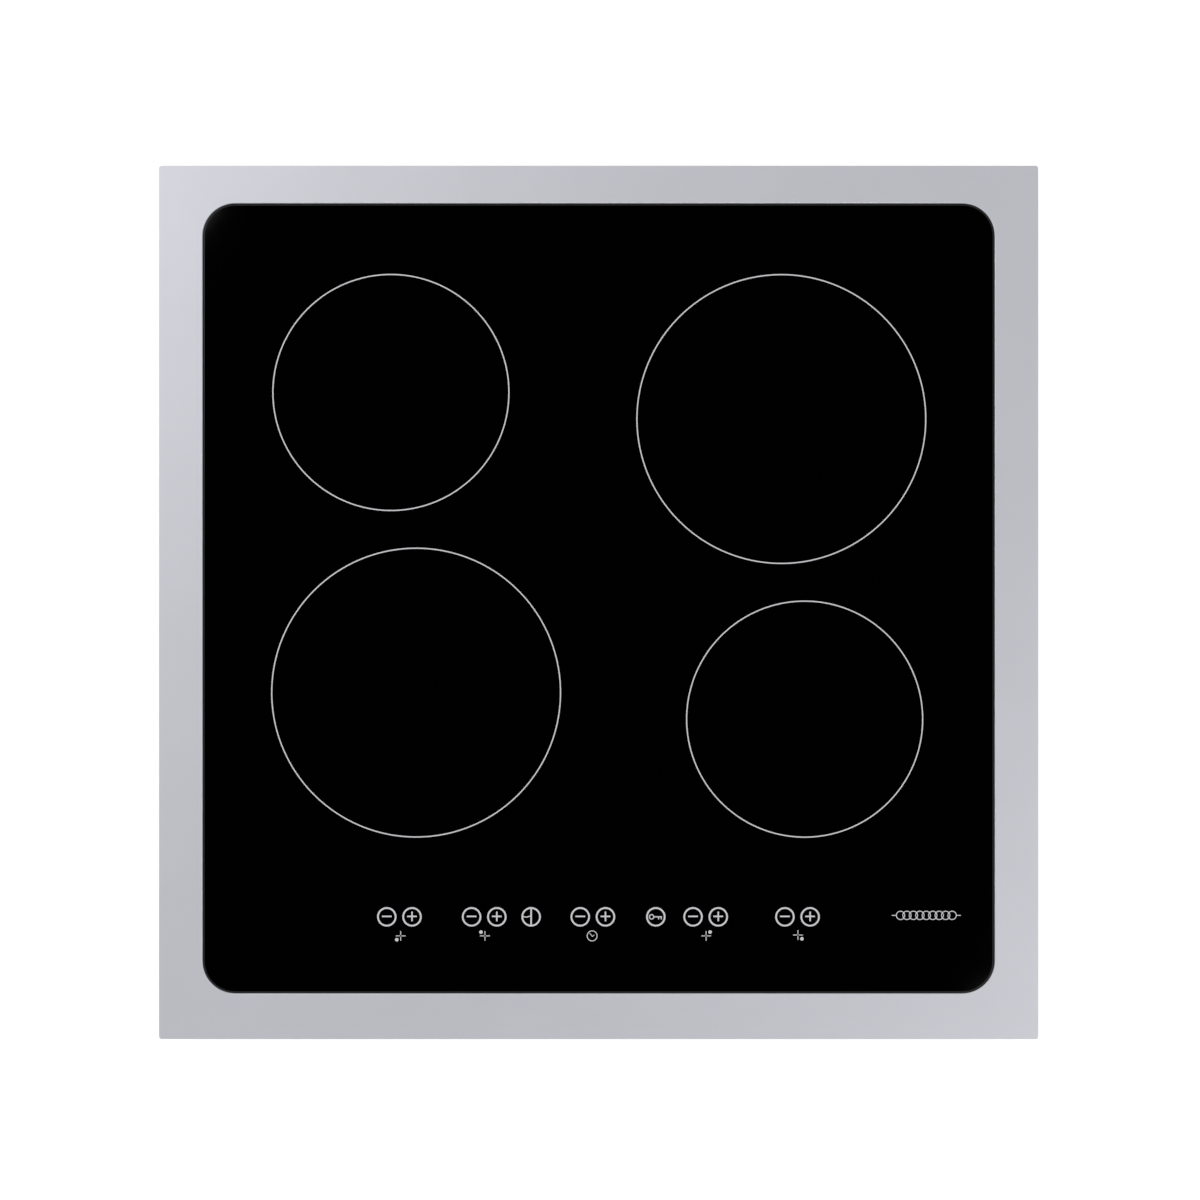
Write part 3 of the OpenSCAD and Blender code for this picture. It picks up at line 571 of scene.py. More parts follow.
PAINT = {
    "black_glass": black_glass(),
    "brushed_trim": satin_steel(),
    "silicone": rubbery("silicone_joint", (0.02, 0.02, 0.022), 0.45, 1.5, 0.02),
    "foam": rubbery("cell_foam", (0.05, 0.05, 0.055), 0.9, 0.6, 0.25),
    "print": printed_enamel(),
    "galvanised_sheet": galvanised(),
    "zinc_screw": plated("zinc_screws", (0.72, 0.73, 0.76)),
    "zinc_post": plated("zinc_posts", (0.68, 0.7, 0.74)),
    "zinc_bracket": plated("zinc_brackets", (0.7, 0.71, 0.73), 0.38, 6),
    "black_plastic": moulded("carrier_black", (0.022, 0.022, 0.025), 0.48),
    "carrier_plastic": moulded("heatproof_black", (0.03, 0.03, 0.034), 0.55, 0.5, 0.03),
    "terminal_plastic": moulded("terminal_black", (0.026, 0.026, 0.029), 0.5),
    "gland_plastic": moulded("gland_black", (0.018, 0.018, 0.02), 0.42),
    "fan_plastic": moulded("fan_black", (0.02, 0.02, 0.022), 0.45),
    "impeller_plastic": moulded("impeller_black", (0.03, 0.03, 0.032), 0.38),
    "moulded_epoxy": moulded("transistor_epoxy", (0.016, 0.016, 0.018), 0.35, 0.2),
    "motor_steel": rolled("motor_can", (0.55, 0.56, 0.58), 0.3, "Z"),
    "lead_sleeve": braid(),
    "wire_insulation": moulded("wire_insulation", (0.2, 0.2, 0.22), 0.42, 0.8),
    "circuit_board": circuit_board(),
    "contact_foam": rubbery("contact_foam", (0.09, 0.09, 0.095), 0.85, 0.5, 0.12),
    "filter_parts": moulded("box_epoxy_blue", (0.05, 0.16, 0.36), 0.4, 0.3),
    "board_parts": moulded("box_epoxy_grey", (0.42, 0.43, 0.44), 0.42, 0.3),
    "terminal_ivory": moulded("terminal_ivory", (0.72, 0.68, 0.55), 0.42),
    "copper_winding": litz(),
    "ferrite": flaked("ferrite", (0.06, 0.06, 0.065), 0.5, 0.03, 0.55),
    "mica": flaked("mica_sheet", (0.42, 0.35, 0.25), 3, 0.05, 0.35),
    "sensor_ceramic": flaked("sensor_ceramic", (0.8, 0.79, 0.75), 0.5, 0.01, 0.4),
    "tray_aluminium": rolled("tray_aluminium", (0.75, 0.76, 0.77), 0.38, "X"),
    "sink_aluminium": rolled("extruded_aluminium", (0.72, 0.73, 0.74), 0.34, "Y", 0.01),
    "spring_steel": plated("spring_steel", (0.6, 0.6, 0.6), 0.25, 1.5),
    "brass_nut": cast("brass", (0.78, 0.56, 0.2), 0.3),
}
RELAY_CASE = moulded("relay_case", (0.03, 0.12, 0.22), 0.38, 0.3)
CAN_SLEEVE = moulded("can_sleeve", (0.025, 0.025, 0.035), 0.3, 0.8)
CAN_TOP = cast("can_aluminium", (0.78, 0.78, 0.79), 0.3)
TIN = cast("tinned_terminal", (0.7, 0.7, 0.69), 0.32)
CHOKE_WIRE = cast("enamelled_copper", (0.7, 0.27, 0.08), 0.28)
GREEN_CORE = flaked("coated_core", (0.06, 0.18, 0.1), 0.8, 0.03, 0.5)
DISPLAY_CASE = moulded("display_case", (0.05, 0.05, 0.055), 0.4, 0.3)
DISPLAY_BAR = moulded("display_bar", (0.42, 0.3, 0.28), 0.35, 0.3)
BRASS_SCREW = cast("brass_screw", (0.76, 0.58, 0.26), 0.32)


# ---- the top ----

def trim_frame():
    """One sheet: folded down outside, and rolled over the opening's edge into a ledge."""
    fold, lip, root, burr = 0.35, 0.9, 0.6, 0.15
    section = [outer_ring(burr, FOLD_Z), outer_ring(0, FOLD_Z + burr)]
    section += [outer_ring(u, v) for u, v in quarter_arc(fold, TOP - fold, fold, TAU / 4)[::-1]]
    inside = quarter_arc(lip, TOP - lip, lip, TAU / 4)
    inside += quarter_arc(-root, LEDGE_TOP + root, root, -TAU / 4)[::-1]
    inside += [(burr - LEDGE_W, LEDGE_TOP), (-LEDGE_W, LEDGE_TOP - burr)]
    inside += [(-LEDGE_W, LEDGE_UNDER + burr), (burr - LEDGE_W, LEDGE_UNDER)]
    outer_r = root + SHEET
    inside += quarter_arc(-root, LEDGE_UNDER + outer_r, outer_r, -TAU / 4)
    section += opening_rings(inside)
    section += [opening_ring(SHEET, TOP - lip), opening_ring(lip, TOP - SHEET)]
    section += [outer_ring(SHEET, TOP - SHEET), outer_ring(SHEET, FOLD_Z + burr)]
    section += [outer_ring(SHEET - burr, FOLD_Z)]
    piece = Piece()
    piece.loft(section, looped=True)
    tab_w, tab_h, hole_r, above = 16, 12.7, 1.8, 0.35
    inner_face, outer_face = -1.9, -0.9  # of a tab, from the outside of the casing's wall
    for place in fixings():
        outline = [rectangle(tab_w, tab_h), circle(hole_r, 24, 0, -above)]
        piece.prism(outline, inner_face, outer_face, place @ shift(0, above))
    piece.place("trim_frame_sheet", "brushed_trim", ["trim_frame"])


def fixings():
    """The places of the eight screws that hold the casing to the frame's tabs."""
    below_ledge, on_side, on_front = 6.7, 100, 150
    z = LEDGE_UNDER - below_ledge
    for s in (-1, 1):
        for y in (-on_side, on_side):
            yield on_wall(s * OPENING_W, OPENING_Y + y, z, s * 90)
        for x in (-on_front, on_front):
            yield on_wall(x, OPENING_Y + s * OPENING_D, z, 180 if s > 0 else 0)


def glass():
    """The plate with its ground edge."""
    edge = 0.7
    low, high = GLASS_LOW.z, GLASS_HIGH.z
    rings = [opening_ring(-JOINT - edge, low), opening_ring(-JOINT, low + edge)]
    rings += opening_rings(quarter_arc(-JOINT - edge, high - edge, edge, 0))
    piece = Piece()
    piece.loft(rings)
    piece.place("glass_plate", "black_glass", ["glass_top"])


def silicone():
    """The bed under the glass and the hollow bead in the joint."""
    low, top = box("glass_adhesive")[0].z, box("glass_adhesive")[1].z
    hollow = 0.25
    bead = [(k / 6 * JOINT, top - hollow * math.sin(k / 6 * TAU / 2)) for k in range(7)]
    section = [opening_ring(0, low)] + [opening_ring(-u, v) for u, v in bead]
    inner, rounding = 2 - LEDGE_W, 0.3
    bed = [(-JOINT, GLASS_LOW.z), (rounding + inner, GLASS_LOW.z)]
    bed += [(inner, (low + GLASS_LOW.z) / 2), (rounding + inner, low)]
    section += opening_rings(bed)
    piece = Piece()
    piece.loft(section, looped=True)
    piece.place("silicone_joint", "silicone", ["glass_adhesive"])


def worktop_seal():
    """Four strips of soft foam, butted at the corners."""
    low, high = box("worktop_seal")
    wide, gap = 12, 0.1
    between = high.y - wide - gap
    piece = Piece()
    for s in (-1, 1):
        xs = sorted((s * high.x, s * (high.x - wide)))
        ys = sorted((s * high.y, s * (high.y - wide)))
        piece.block((xs[0], -between, low.z), (xs[1], between, high.z))
        piece.block((low.x, ys[0], low.z), (high.x, ys[1], high.z))
    seal = piece.place("foam_seal", "foam", ["worktop_seal"], edge=1.2)
    seal.modifiers["rounded edges"].segments = 4


def zone_rings():
    """The printed rings, fine enough to stay round."""
    low, high = box("zone_ring_print")
    half_line = high.x - box("coil_winding_rear_right")[1].x - COIL_INSET
    piece = Piece()
    for zone in ZONES:
        corner, centre = box("coil_winding_" + zone)[1], middle("coil_winding_" + zone)
        inner, outer = (corner.x - centre.x + COIL_INSET + s * half_line for s in (-1, 1))
        profile = [(inner, low.z), (outer, low.z), (outer, high.z), (inner, high.z)]
        piece.lathe(profile, shift(centre.x, centre.y), n=256, closed=True)
    piece.place("zone_rings", "print", ["zone_ring_print"])


# ---- casing ----

VENT_PITCH = 10
SIDE_VENT_Y = -130  # the first air slot in a side wall
SLOT_W = 4
VENT_LOW, VENT_HIGH = 10, 34
VENT_MID = (VENT_LOW + VENT_HIGH) / 2
INTAKE_R = 42
INTAKE_PITCH = 9
FLOOR_SLOT = 40  # length of the air slots in the floor at the front
FLOOR_SLOT_X, FLOOR_SLOT_IN = 80, 45  # the first of them, and their distance from the front wall
DOOR_W, DOOR_H, DOOR_Z = 120, 35, 25.5  # the opening for the terminals, and its middle's height
CUT = 3  # how far a cutter reaches on each side of the sheet
FAN = Vector((185, 181, 0))
GLAND = middle("cable_gland")


def casing_openings():
    """Solids that are cut out of the casing."""
    front, rear = OPENING_Y - OPENING_D, OPENING_Y + OPENING_D
    wall_vent = rectangle(SLOT_W, VENT_HIGH - VENT_LOW)
    cuts = []
    for s in (-1, 1):
        for k in range(-4, 5):
            aside = INTAKE_PITCH * k
            slot = capsule(2 * math.sqrt(INTAKE_R ** 2 - aside ** 2), SLOT_W)
            cuts.append((slot, shift(s * FAN.x, FAN.y + aside)))
        for k in range(10):
            place = shift(s * (FLOOR_SLOT_X + k * VENT_PITCH), front + FLOOR_SLOT_IN)
            cuts.append((capsule(FLOOR_SLOT, SLOT_W), place @ spun(TAU / 4)))
        for k in range(8):
            y = k * VENT_PITCH + SIDE_VENT_Y
            cuts.append((wall_vent, on_wall(s * OPENING_W, y, VENT_MID, s * 90)))
    cuts += [(wall_vent, on_wall(k * VENT_PITCH, front, VENT_MID, 0)) for k in range(-22, 23)]
    screw_r, gland_r = 1.9, 9
    cuts += [(circle(screw_r, 20), place) for place in fixings()]
    cuts.append((rectangle(DOOR_W, DOOR_H), on_wall(0, rear, DOOR_Z, 180)))
    cuts.append((circle(gland_r, 48), on_wall(GLAND.x, rear, GLAND.z, 180)))
    cutter = Piece()
    for outline, place in cuts:
        cutter.prism([outline], -CUT, CUT, place)
    return cutter.object("cutter")


def casing_shell():
    """The drawn tray, with a bend between its floor and its walls."""
    bend = 2.5
    rings = opening_rings(quarter_arc(-bend, bend, bend - SHEET, -TAU / 4))
    rings += [opening_ring(-SHEET, CASING_HIGH.z), opening_ring(0, CASING_HIGH.z)]
    rings += opening_rings(quarter_arc(-bend, bend, bend, -TAU / 4)[::-1])
    shell = Piece()
    shell.loft(rings)
    return shell.object("casing_sheet")


def casing():
    shell, cutter = casing_shell(), casing_openings()
    cut = shell.modifiers.new("openings", "BOOLEAN")
    cut.object = cutter
    cut.solver = "EXACT"
    bpy.context.view_layer.update()
    drawn = shell.evaluated_get(bpy.context.evaluated_depsgraph_get())
    shell.data = bpy.data.meshes.new_from_object(drawn)
    shell.modifiers.clear()
    bpy.data.objects.remove(cutter)
    dress(shell, "galvanised_sheet", ["base_casing"])


# ---- coils ----

def winding(zone):
    """Litz wire wound in a flat spiral, a little apart from turn to turn."""
    node = "coil_winding_" + zone
    low, high = box(node)
    centre = (low + high) / 2
    inner, outer = 24, high.x - centre.x
    pitch, gap, corner, per_turn = 3, 0.08, 1.1, 64
    turns = (outer - inner) / pitch - 1
    half_w, half_h = pitch / 2 - gap, (high.z - low.z) / 2
    steps = round(turns * per_turn)
    path = []
    for k in range(steps + 1):
        a = k / steps * turns * TAU
        r = inner + half_w + pitch * k / steps * turns
        path.append(polar(r, a))
    section = [(p.x, p.y) for p in rounded_ring(half_w, half_h, corner, 0, steps=3)]
    piece = Piece()
    piece.sweep(path, section, UP)
    body = "coil_unit_" + zone.split("_")[1]
    piece.place("litz_winding_" + zone, "copper_winding", [node], body=body, at=centre)


def helix(centre, r, wire_r, low, high):
    """The middle line of a spring whose ends lie flat."""
    turns, dead, steps = 4, 0.7, 28
    ease = 0.15
    rise = high - low - 2 * wire_r
    path = []
    for k in range(round((turns + 2 * dead) * steps) + 1):
        t = k / steps
        share = min(max((t - dead) / turns, 0), 1)
        a = t * TAU
        z = low + wire_r + rise * (share - math.sin(share * TAU) / TAU * ease)
        path.append(Vector((centre.x + r * math.cos(a), centre.y + r * math.sin(a), z)))
    return path


def tray_springs(side):
    node = "tray_springs_" + side
    low, high = box(node)
    r, wire_r = 4.3, 0.6
    piece = Piece()
    for a, b, _ in islands(node):
        piece.wire(helix((a + b) / 2, r, wire_r, low.z, high.z), wire_r, 8)
    span = [(0, 0, z * MM) for z in (low.z, high.z)]
    body = ("cooktop", "coil_unit_" + side, *span)
    piece.place("springs_" + side, "spring_steel", [node], body=body)


def coil_leads():
    """Sleeved leads that bend down from each winding to its board."""
    low, high = box("coil_leads")
    r, bend = 1.75, 4
    half_way = 30 + OPENING_Y  # between the leads of the front and the rear coils
    for side, sign in SIDES:
        piece = Piece()
        for a, b, _ in islands("coil_leads"):
            if a.x * sign < 0:
                continue
            x, top = (a.x + b.x) / 2, b.z - r
            rear = (a.y + b.y) / 2 > half_way
            start, drop = (b.y, a.y + r) if rear else (a.y, b.y - r)
            corners = [(x, start, top), (x, drop, top), (x, drop, a.z)]
            piece.wire(bends(corners, bend, 8), r, 16)
        span = [(0, 0, z * MM) for z in (low.z, high.z - 2 * r)]
        body = ("cooktop", "coil_unit_" + side, *span)
        stands_for = ["coil_leads"] if sign > 0 else []
        piece.place("sleeved_leads_" + side, "lead_sleeve", stands_for, body=body)


# ---- boards ----

def can(sleeve, top, low, high):
    """An electrolytic capacitor: a shrunk sleeve with a rolled groove, and a scored lid."""
    centre = (low + high) / 2
    r = (high.x - low.x) / 2
    z0, z1 = low.z, high.z
    place = shift(centre.x, centre.y)
    lid_r = r - 1.9
    foot = [(r - 0.6, z0), (r - 0.2, z0 + 0.3), (r - 0.2, z0 + 1.6)]
    groove = [(r - 1, z0 + 2.4), (r - 0.2, z0 + 3.2), (r, z0 + 3.8)]
    curl = [(r, z1 - 0.9), (r - 0.3, z1 - 0.2), (r - 1, z1), (r - 1.8, z1), (lid_r, z1 - 0.3)]
    sleeve.lathe(foot + groove + curl + [(lid_r, z0)], place, closed=True)
    rim = [(lid_r, z1 - 0.35), (lid_r - 0.7, z1 - 0.25), (lid_r - 1, z1 - 0.5)]
    top.lathe([(lid_r, z0 + 1)] + rim, place)
    score_w, score_low, score_high = 0.5, z1 - 0.55, z1 - 0.35
    for k in range(3):
        bar = spun(k * TAU / 6)
        top.prism([rectangle(2 * lid_r - 2.4, score_w)], score_low, score_high, place @ bar)


def choke(core, wire, low, high, turns):
    """A ring core with one layer of enamelled wire round it."""
    centre = (low + high) / 2
    wire_r = 0.75
    r = (high.z - low.z) / 2
    ring = (high.x - low.x) / 2 - r
    place = Matrix.Translation(centre)
    core.lathe([(ring + p.x, p.y) for p in circle(r - 2 * wire_r, 16)], place, closed=True)
    gap, per_turn = 0.04, 14
    steps = turns * per_turn
    path = []
    for k in range(steps + 1):
        u = (gap + (1 - 2 * gap) * k / steps) * TAU
        v = k / per_turn * TAU
        d = ring + (r - wire_r) * math.cos(v)
        path.append(centre + polar(d, u, (r - wire_r) * math.sin(v)))
    wire.wire(path, wire_r, 8)


def ferrule(piece, low, high):
    """A round soldered terminal with a collar."""
    centre = (low + high) / 2
    r = (high.x - low.x) / 2
    collar = [(r, low.z), (r, low.z + 1)]
    pin = [(r * 0.82, low.z + 1.4), (r * 0.82, high.z - 0.4), (r * 0.72, high.z)]
    piece.lathe(collar + pin, shift(centre.x, centre.y), n=24)


def board_components(side):
    """Dresses each solid of the CAD node as the part that its shape says."""
    box_points, capacitor_height, pin_height, can_height = 8, 18, 5, 20
    large, large_turns, small_turns = 40, 30, 24
    node = "board_components_" + side
    boxes, relays, sleeves, tops = Piece(), Piece(), Piece(), Piece()
    cores, wires, terminals = Piece(), Piece(), Piece()
    for low, high, points in islands(node):
        height = high.z - low.z
        turns = large_turns if high.x - low.x > large else small_turns
        if points <= box_points:
            (boxes if height > capacitor_height else relays).block(low, high)
        elif height < pin_height:
            ferrule(terminals, low, high)
        elif height > can_height:
            can(sleeves, tops, low, high)
        else:
            choke(cores, wires, low, high, turns)
    slot = "board_parts"
    boxes.place("film_capacitors_" + side, slot, [node], edge=1.2)
    relays.place("relays_" + side, slot, material=RELAY_CASE, edge=0.6)
    sleeves.place("can_sleeves_" + side, slot, material=CAN_SLEEVE)
    tops.place("can_lids_" + side, slot, material=CAN_TOP)
    cores.place("choke_cores_" + side, slot, material=GREEN_CORE)
    wires.place("choke_wires_" + side, slot, material=CHOKE_WIRE)
    terminals.place("lead_terminals_" + side, slot, material=TIN)


BOARD_T = 1.6
FILTER_BOXES = ((34, 160, 28, 30, 18), (76, 176, 12, 20, 14))  # x, y, width, depth, height
FILTER_CHOKE = (168, 12, 6, 8)  # y, ring radius, core radius, height of the middle
MAINS_X = (-37.5, -7.5, 7.5, 37.5)
MAINS_Y = 196
SUPPLY_X = (62, 72, 82)
SUPPLY_Y = 146


def filter_board():
    """The mains filter: a board on four feet with its capacitors, choke and terminals."""
    low, high = box("filter_board")
    board_low, inset = 6, 5
    board_top = board_low + BOARD_T
    board, parts, core, wire, pins = Piece(), Piece(), Piece(), Piece(), Piece()
    slot = "filter_parts"
    board.block((low.x, low.y, board_low), (high.x, high.y, board_top))
    board.place("filter_board_laminate", "circuit_board", ["filter_board"], edge=0.2)
    feet = Piece()
    foot = [(3, low.z), (3, board_low - 0.5), (2.5, board_low)]
    for x in (low.x + inset, high.x - inset):
        for y in (low.y + inset, high.y - inset):
            feet.lathe(foot, shift(x, y), n=24)
    feet.place("filter_board_feet", slot, material=PAINT["black_plastic"])
    for s in (-1, 1):
        for x, y, w, d, h in FILTER_BOXES:
            xs = sorted((s * x, s * (x + w)))
            parts.block((xs[0], y, board_top), (xs[1], y + d, board_top + h))
    parts.place("filter_capacitors", slot, edge=1)
    y, ring, r, z = FILTER_CHOKE
    reach = Vector((ring + r, ring + r, r))
    centre = Vector((0, y, board_top + z))
    choke(core, wire, centre - reach, centre + reach, 26)
    post_r, post_h, chamfer = 2.5, 16, 0.5
    top = board_top + post_h
    post = [(post_r, board_top), (post_r, top - chamfer), (post_r - chamfer, top)]
    core.lathe(post, shift(0, y), n=24)
    core.place("filter_choke_core", slot, material=GREEN_CORE)
    wire.place("filter_choke_wire", slot, material=CHOKE_WIRE)
    spots = [(x, MAINS_Y) for x in MAINS_X] + [(s * x, SUPPLY_Y) for s in (-1, 1) for x in SUPPLY_X]
    pin = Vector((3, 3, 4))
    for x, y in spots:
        low = Vector((x - pin.x, y - pin.y, board_top))
        ferrule(pins, low, Vector((x + pin.x, y + pin.y, board_top + pin.z)))
    pins.place("filter_terminals", slot, material=TIN)


KEY_PAIRS = (-135.8, -78.2, -4, 73.1, 135.6)
DISPLAY = Vector((25, 13, 6.5))


def digit(bars, x, y, z):
    """Seven bars with pointed ends, a little proud of the display's face."""
    wide, tall, proud, apart = 2.5, 4.2, 0.12, 0.6
    for v in (-1, 0, 1):
        place = shift(x, y + v * tall, z)
        bars.prism([capsule(2 * wide - apart, 1, 2)], 0, proud, place)
    upright = spun(TAU / 4)
    for u in (-1, 1):
        for v in (-0.5, 0.5):
            place = shift(x + u * wide, y + v * tall, z)
            bars.prism([capsule(tall - apart, 1, 2)], 0, proud, place @ upright)


def control_board():
    """The board under the glass, with a two-digit display behind each pair of keys."""
    low, high = box("ui_board")
    board, cases, bars = Piece(), Piece(), Piece()
    board.block(low, (high.x, high.y, low.z + BOARD_T))
    top = low.z + BOARD_T + DISPLAY.z
    from_edge, half_apart = 1, 5
    mid_y = high.y - from_edge - DISPLAY.y / 2
    for x in KEY_PAIRS:
        corner = Vector((x - DISPLAY.x / 2, mid_y - DISPLAY.y / 2, low.z + BOARD_T))
        cases.block(corner, corner + DISPLAY)
        for aside in (-half_apart, half_apart):
            digit(bars, x + aside, mid_y, top)
    slot = "circuit_board"
    board.place("control_board_laminate", slot, ["ui_board"], edge=0.15)
    cases.place("display_cases", slot, material=DISPLAY_CASE, edge=0.3)
    bars.place("display_bars", slot, material=DISPLAY_BAR)


def wire_run(low, high, r):
    """The corners of one wire in its CAD box, and the radius of its bends."""
    block_y, fan_y, along, play = 235, 160, 32, 0.02
    x = (low.x + high.x) / 2
    front, back, top = low.y + r, high.y - r, high.z - r
    drop = [(x, high.y, top), (x, front, top), (x, front, low.z)]
    if high.y > block_y:  # from the terminal block
        return drop, top - low.z - play
    if high.y > fan_y:  # from a fan
        return drop, 4.5
    if low.y > 0:  # from the filter to a power board
        return [(x, back, low.z), (x, back, top), (x, front, top), (x, front, low.z)], 4.8
    # below the trays, to the control board
    return [(x, back, low.z), (x, back, along), (x, front, along), (x, front, high.z)], 4.5


def harness():
    r = 1.1
    piece = Piece()
    for low, high, _ in islands("wiring_harness"):
        corners, bend = wire_run(low, high, r)
        piece.wire(bends(corners, bend), r, 10)
    piece.place("wire_runs", "wire_insulation", ["wiring_harness"])


# ---- clamps ----

def clamp_screws():
    """M4 screws: a real thread up to the head, which is turned from below."""
    pitch, crest, depth, point = 0.7, 1.96, 0.26, 0.3
    n, head_h = 20, 2.4
    piece = Piece()
    for low, high, _ in islands("clamp_screws"):
        centre = (low + high) / 2
        head_top = low.z + head_h
        place = shift(centre.x, centre.y)
        rings = []
        rows = round((high.z - head_top) / (pitch / 4))
        for row in range(rows + 1):
            z = head_top + row * (high.z - head_top) / rows
            end = min(1, (high.z - z) / pitch)
            phases = [(z / pitch - k / n) % 1 for k in range(n)]
            radii = [crest - depth * abs(2 * phase - 1) - point * (1 - end) for phase in phases]
            rings.append([place @ polar(q, k * TAU / n, z) for k, q in enumerate(radii)])
        piece.loft(rings)
        recess = [(2.2, low.z + 1.1), (2.4, low.z + 0.1), (2.9, low.z)]
        head = [(3.5, low.z + 0.5), (3.8, low.z + 1.3), (3.8, head_top - 0.2), (3.6, head_top)]
        piece.lathe(recess + head, place, n=40)
    piece.place("threaded_clamp_screws", "zinc_screw", ["clamp_screws"])


# ---- fans, cover and terminals ----

def impeller(side):
    """A deck with a cup for the motor, a ring, and forward-curved blades between them."""
    node = "fan_impeller_" + side
    low, high = box(node)
    centre = (low + high) / 2
    r, deck, hub = high.x - centre.x, high.z - 1.6, low.z + 2.5
    place = shift(centre.x, centre.y)
    piece = Piece()
    cup, wall, bore, edge = 15, 2, 1.6, 0.3
    outside = [(r, high.z - edge), (r, deck), (cup + wall, deck), (cup, deck - wall)]
    outside += [(cup, hub + 1.2), (13.8, hub)]
    inside = [(bore, hub), (bore, hub + wall), (12.2, hub + wall), (cup - wall, hub + 2.8)]
    inside += [(cup - wall, high.z), (r - edge, high.z)]
    piece.lathe(outside + inside, place, n=72, closed=True)
    ring = [(r - 6, low.z + edge), (r - 5.7, low.z), (r - edge, low.z), (r, low.z + edge)]
    piece.lathe(ring + [(r, low.z + 1.6), (r - 6, low.z + 1.6)], place, n=72, closed=True)
    spine = [Vector((r - 8.6 + 7.6 * t, 5 * t ** 1.7 - 2.4, 0)) for t in (k / 7 for k in range(8))]
    across = [(p, side_on * 0.45) for p, side_on, _ in frames_along(spine, UP)]
    blade = [p + d for p, d in across] + [p - d for p, d in reversed(across)]
    blades = 32
    for k in range(blades):
        turned = place @ spun(k * TAU / blades)
        piece.prism([blade], low.z + 1.2, deck + 0.2, turned)
    piece.place("impeller_" + side, "impeller_plastic", [node], body="fan_rotor_" + side)


def cover_ribs():
    """A raised border and grip bars on the outside of the terminal cover."""
    plate_back, plate_top = OPENING_Y + OPENING_D + 3, 37.5
    place = on_wall(0, plate_back, (box("terminal_cover")[0].z + plate_top) / 2, 180)
    wide, tall, border, sunk, raised = 118, 25, 3, -0.2, 0.7
    bar_w, bar_pitch, first_bar, bar_raised = 30, 2.4, -8, 0.8
    piece = Piece()
    outline = [rectangle(wide, tall), rectangle(wide - border, tall - border)]
    piece.prism(outline, sunk, raised, place)
    for k in range(4):
        bar = place @ shift(0, bar_pitch * k + first_bar)
        piece.prism([capsule(bar_w, 1)], sunk, bar_raised, bar)
    piece.place("cover_ribs", "terminal_plastic", body="terminal_cover", edge=0.2)


def terminal_screws():
    """Slotted brass screws at the bottom of the terminal block's wells."""
    low, high = box("terminal_block")
    poles, r, groove = 6, 3.5, 0.45
    inwards, down, sunk, floor_z, head_z, twist = 7, 9, -0.2, 1.2, 2.2, 0.4
    pitch = (high.x - low.x) / poles
    ends = math.asin(groove / r)
    piece = Piece()
    for k in range(poles):
        place = shift(low.x + (k + 0.5) * pitch, high.y - inwards, high.z - down)
        piece.lathe([(r, sunk), (r, floor_z)], place, n=32)
        for s in (0, 1):
            angles = [ends + j / 16 * (TAU / 2 - 2 * ends) for j in range(17)]
            half = [polar(r, a) for a in angles]
            turned = place @ spun(s * TAU / 2 + twist)
            piece.prism([half], floor_z, head_z, turned)
    piece.place("terminal_screws", "brass_nut", material=BRASS_SCREW)


# ---- the CAD pieces that keep their shape ----

# The start of the node's name, its material, and how far its edges are rounded (None: the mesh
# is left as it is).
FINISHES = (
    ("control_symbol_print", "print", None),
    ("casing_screws", "zinc_screw", 0.15),
    ("tray_posts", "zinc_post", 0.3),
    ("board_carriers", "black_plastic", 0.5),
    ("power_transistors", "moulded_epoxy", 0.25),
    ("fan_motors", "motor_steel", 0.3),
    ("ui_carrier", "black_plastic", 0.4),
    ("touch_pads", "contact_foam", 0.4),
    ("terminal_housing", "terminal_plastic", 0.4),
    ("terminal_block", "terminal_ivory", 0.3),
    ("terminal_cover", "terminal_plastic", 0.35),
    ("cable_gland", "gland_plastic", 0.2),
    ("clamp_brackets", "zinc_bracket", 0.25),
    ("coil_carrier_", "carrier_plastic", 0),
    ("ferrite_bars_", "ferrite", 0.3),
    ("mica_sheets_", "mica", 0.1),
    ("temperature_sensors_", "sensor_ceramic", 0.5),
    ("coil_tray_", "tray_aluminium", 0.3),
    ("power_board_", "circuit_board", 0.15),
    ("heat_sink_", "sink_aluminium", 0.25),
    ("fan_housing_", "fan_plastic", 0.4),
    ("clamp_nut_", "brass_nut", 0.15),
    ("clamp_arm_", "zinc_bracket", 0.3),
)


def finish_cad_nodes():
    for start, slot, edge in FINISHES:
        for node in (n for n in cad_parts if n.startswith(start)):
            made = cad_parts[node]
            for place in made.material_slots:
                place.material = PAINT[slot]
            if edge is None:
                continue
            made.modifiers.new("joined corners", "WELD").merge_threshold = MM * MM
            if edge:
                round_edges(made, edge)
                made.modifiers["rounded edges"].harden_normals = False
            made.modifiers.new("even shading", "WEIGHTED_NORMAL").weight = 100


# ---- studio ----

def camera():
    """Straight above the middle, far enough that the whole picture spans 818.5 mm of the top."""
    lens, sensor, span = 100, 36, 818.5
    aim_x, aim_y = 0.93, 1.65
    data = bpy.data.cameras.new("camera")
    data.lens = lens
    data.sensor_width = sensor
    made = bpy.data.objects.new("camera", data)
    made.location = Vector((aim_x, aim_y, TOP + span * lens / sensor)) * MM
    bpy.context.collection.objects.link(made)
    bpy.context.scene.camera = made


def floor():
    size, under, top = 30000, -20, -0.1
    piece = Piece()
    piece.prism([rectangle(size, size)], under, top)
    made = piece.object("studio_floor")
    paint = Paint("pale_floor", (0.5, 0.5, 0.5), 0.8, Emission_Strength=0.8)
    paint.shader.inputs["Emission Color"].default_value = (1, 1, 1, 1)
    paint.mottle(paint.noise(300), 0.01)
    made.data.materials.append(paint.bump(paint.noise(30), 0.05))


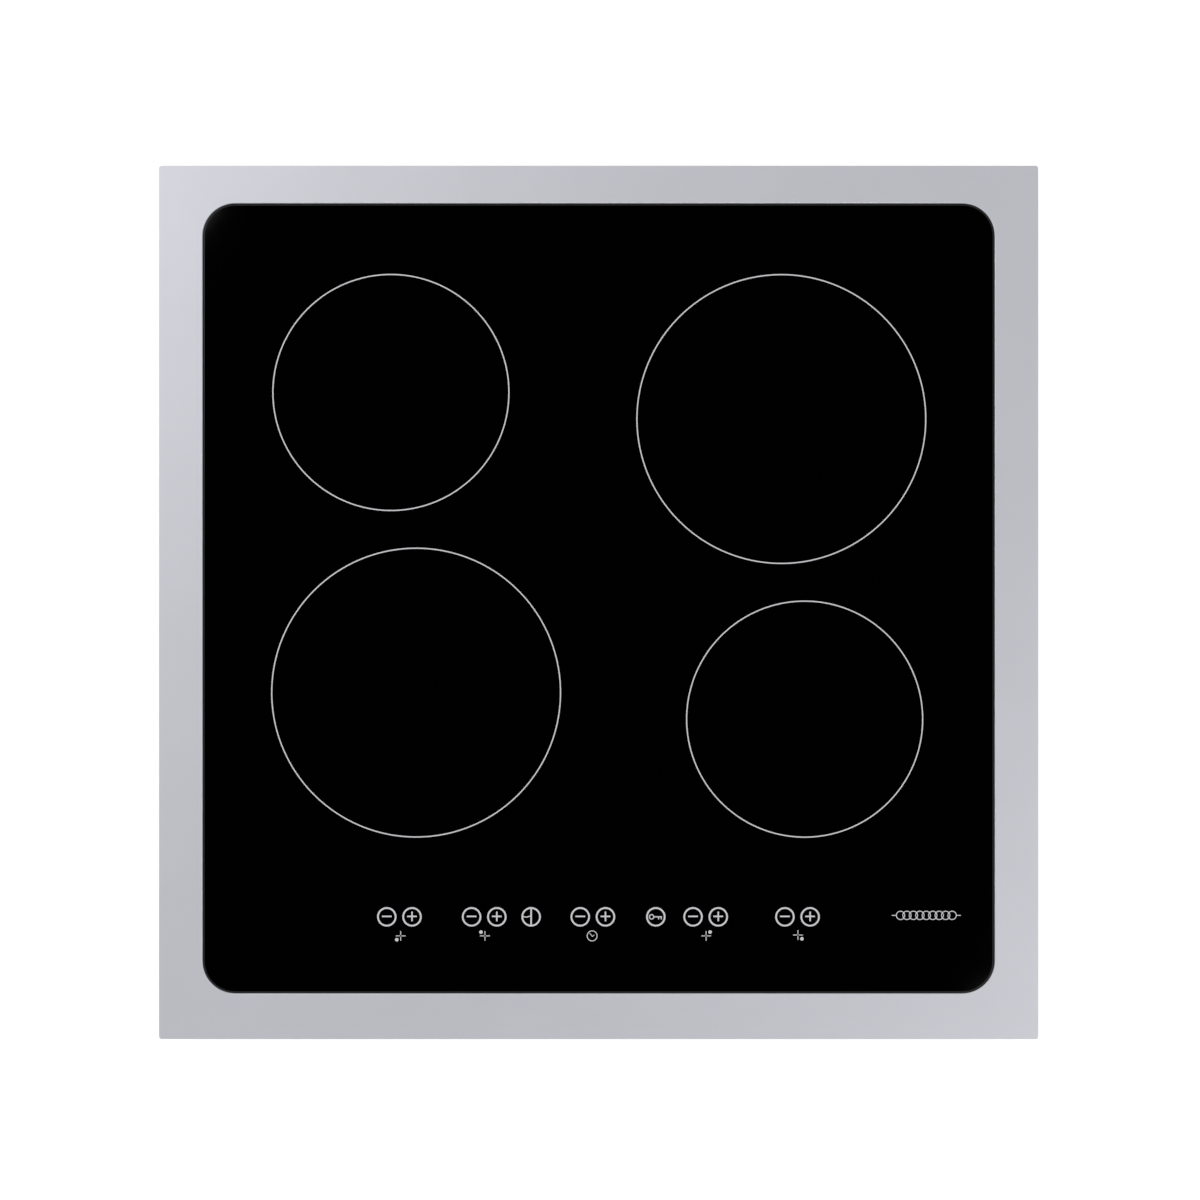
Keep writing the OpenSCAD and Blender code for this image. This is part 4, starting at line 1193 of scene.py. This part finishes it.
def softbox(name, azimuth, power):
    """A square light that faces the middle of the object."""
    zenith, distance, size = 33, 1.9, 0.9
    data = bpy.data.lights.new(name, "AREA")
    data.shape = "SQUARE"
    data.size = size
    data.energy = power
    made = bpy.data.objects.new(name, data)
    a, e = math.radians(azimuth), math.radians(zenith)
    made.location = polar(math.sin(e), a, math.cos(e)) * distance
    made.rotation_euler = made.location.to_track_quat("Z", "Y").to_euler()
    bpy.context.collection.objects.link(made)


def room():
    """A pale room whose ceiling is dark, so that the glass shows black from above."""
    strength, blue = 1.03, 1.02
    world = bpy.data.worlds.new("room")
    world.use_nodes = True
    bpy.context.scene.world = world
    tree = world.node_tree
    coordinates = tree.nodes.new("ShaderNodeTexCoord")
    split = tree.nodes.new("ShaderNodeSeparateXYZ")
    ramp = tree.nodes.new("ShaderNodeValToRGB")
    tree.links.new(coordinates.outputs["Generated"], split.inputs["Vector"])
    tree.links.new(split.outputs["Z"], ramp.inputs["Fac"])
    tree.links.new(ramp.outputs["Color"], tree.nodes["Background"].inputs["Color"])
    tree.nodes["Background"].inputs["Strength"].default_value = strength
    stops = ((0.0, 0.95), (0.12, 0.55), (0.3, 0.42), (0.6, 0.45),
             (0.78, 1.0), (0.92, 1.0), (0.955, 0.0))  # height, grey
    ramp.color_ramp.elements[0].position = stops[0][0]
    ramp.color_ramp.elements[1].position = stops[-1][0]
    for position, _ in stops[1:-1]:
        ramp.color_ramp.elements.new(position)
    for element, (_, grey) in zip(ramp.color_ramp.elements, stops):
        element.color = (grey, grey, grey * blue, 1)


def studio():
    camera()
    floor()
    room()
    softbox("key_rear_left", 145, 2.98)
    softbox("key_front_right", -35, 2)
    bpy.context.scene.view_settings.view_transform = "Standard"


trim_frame()
glass()
silicone()
worktop_seal()
zone_rings()
casing()
for zone_name in ZONES:
    winding(zone_name)
coil_leads()
for side_name, _ in SIDES:
    tray_springs(side_name)
    board_components(side_name)
    impeller(side_name)
filter_board()
control_board()
harness()
terminal_screws()
cover_ribs()
clamp_screws()
finish_cad_nodes()
studio()
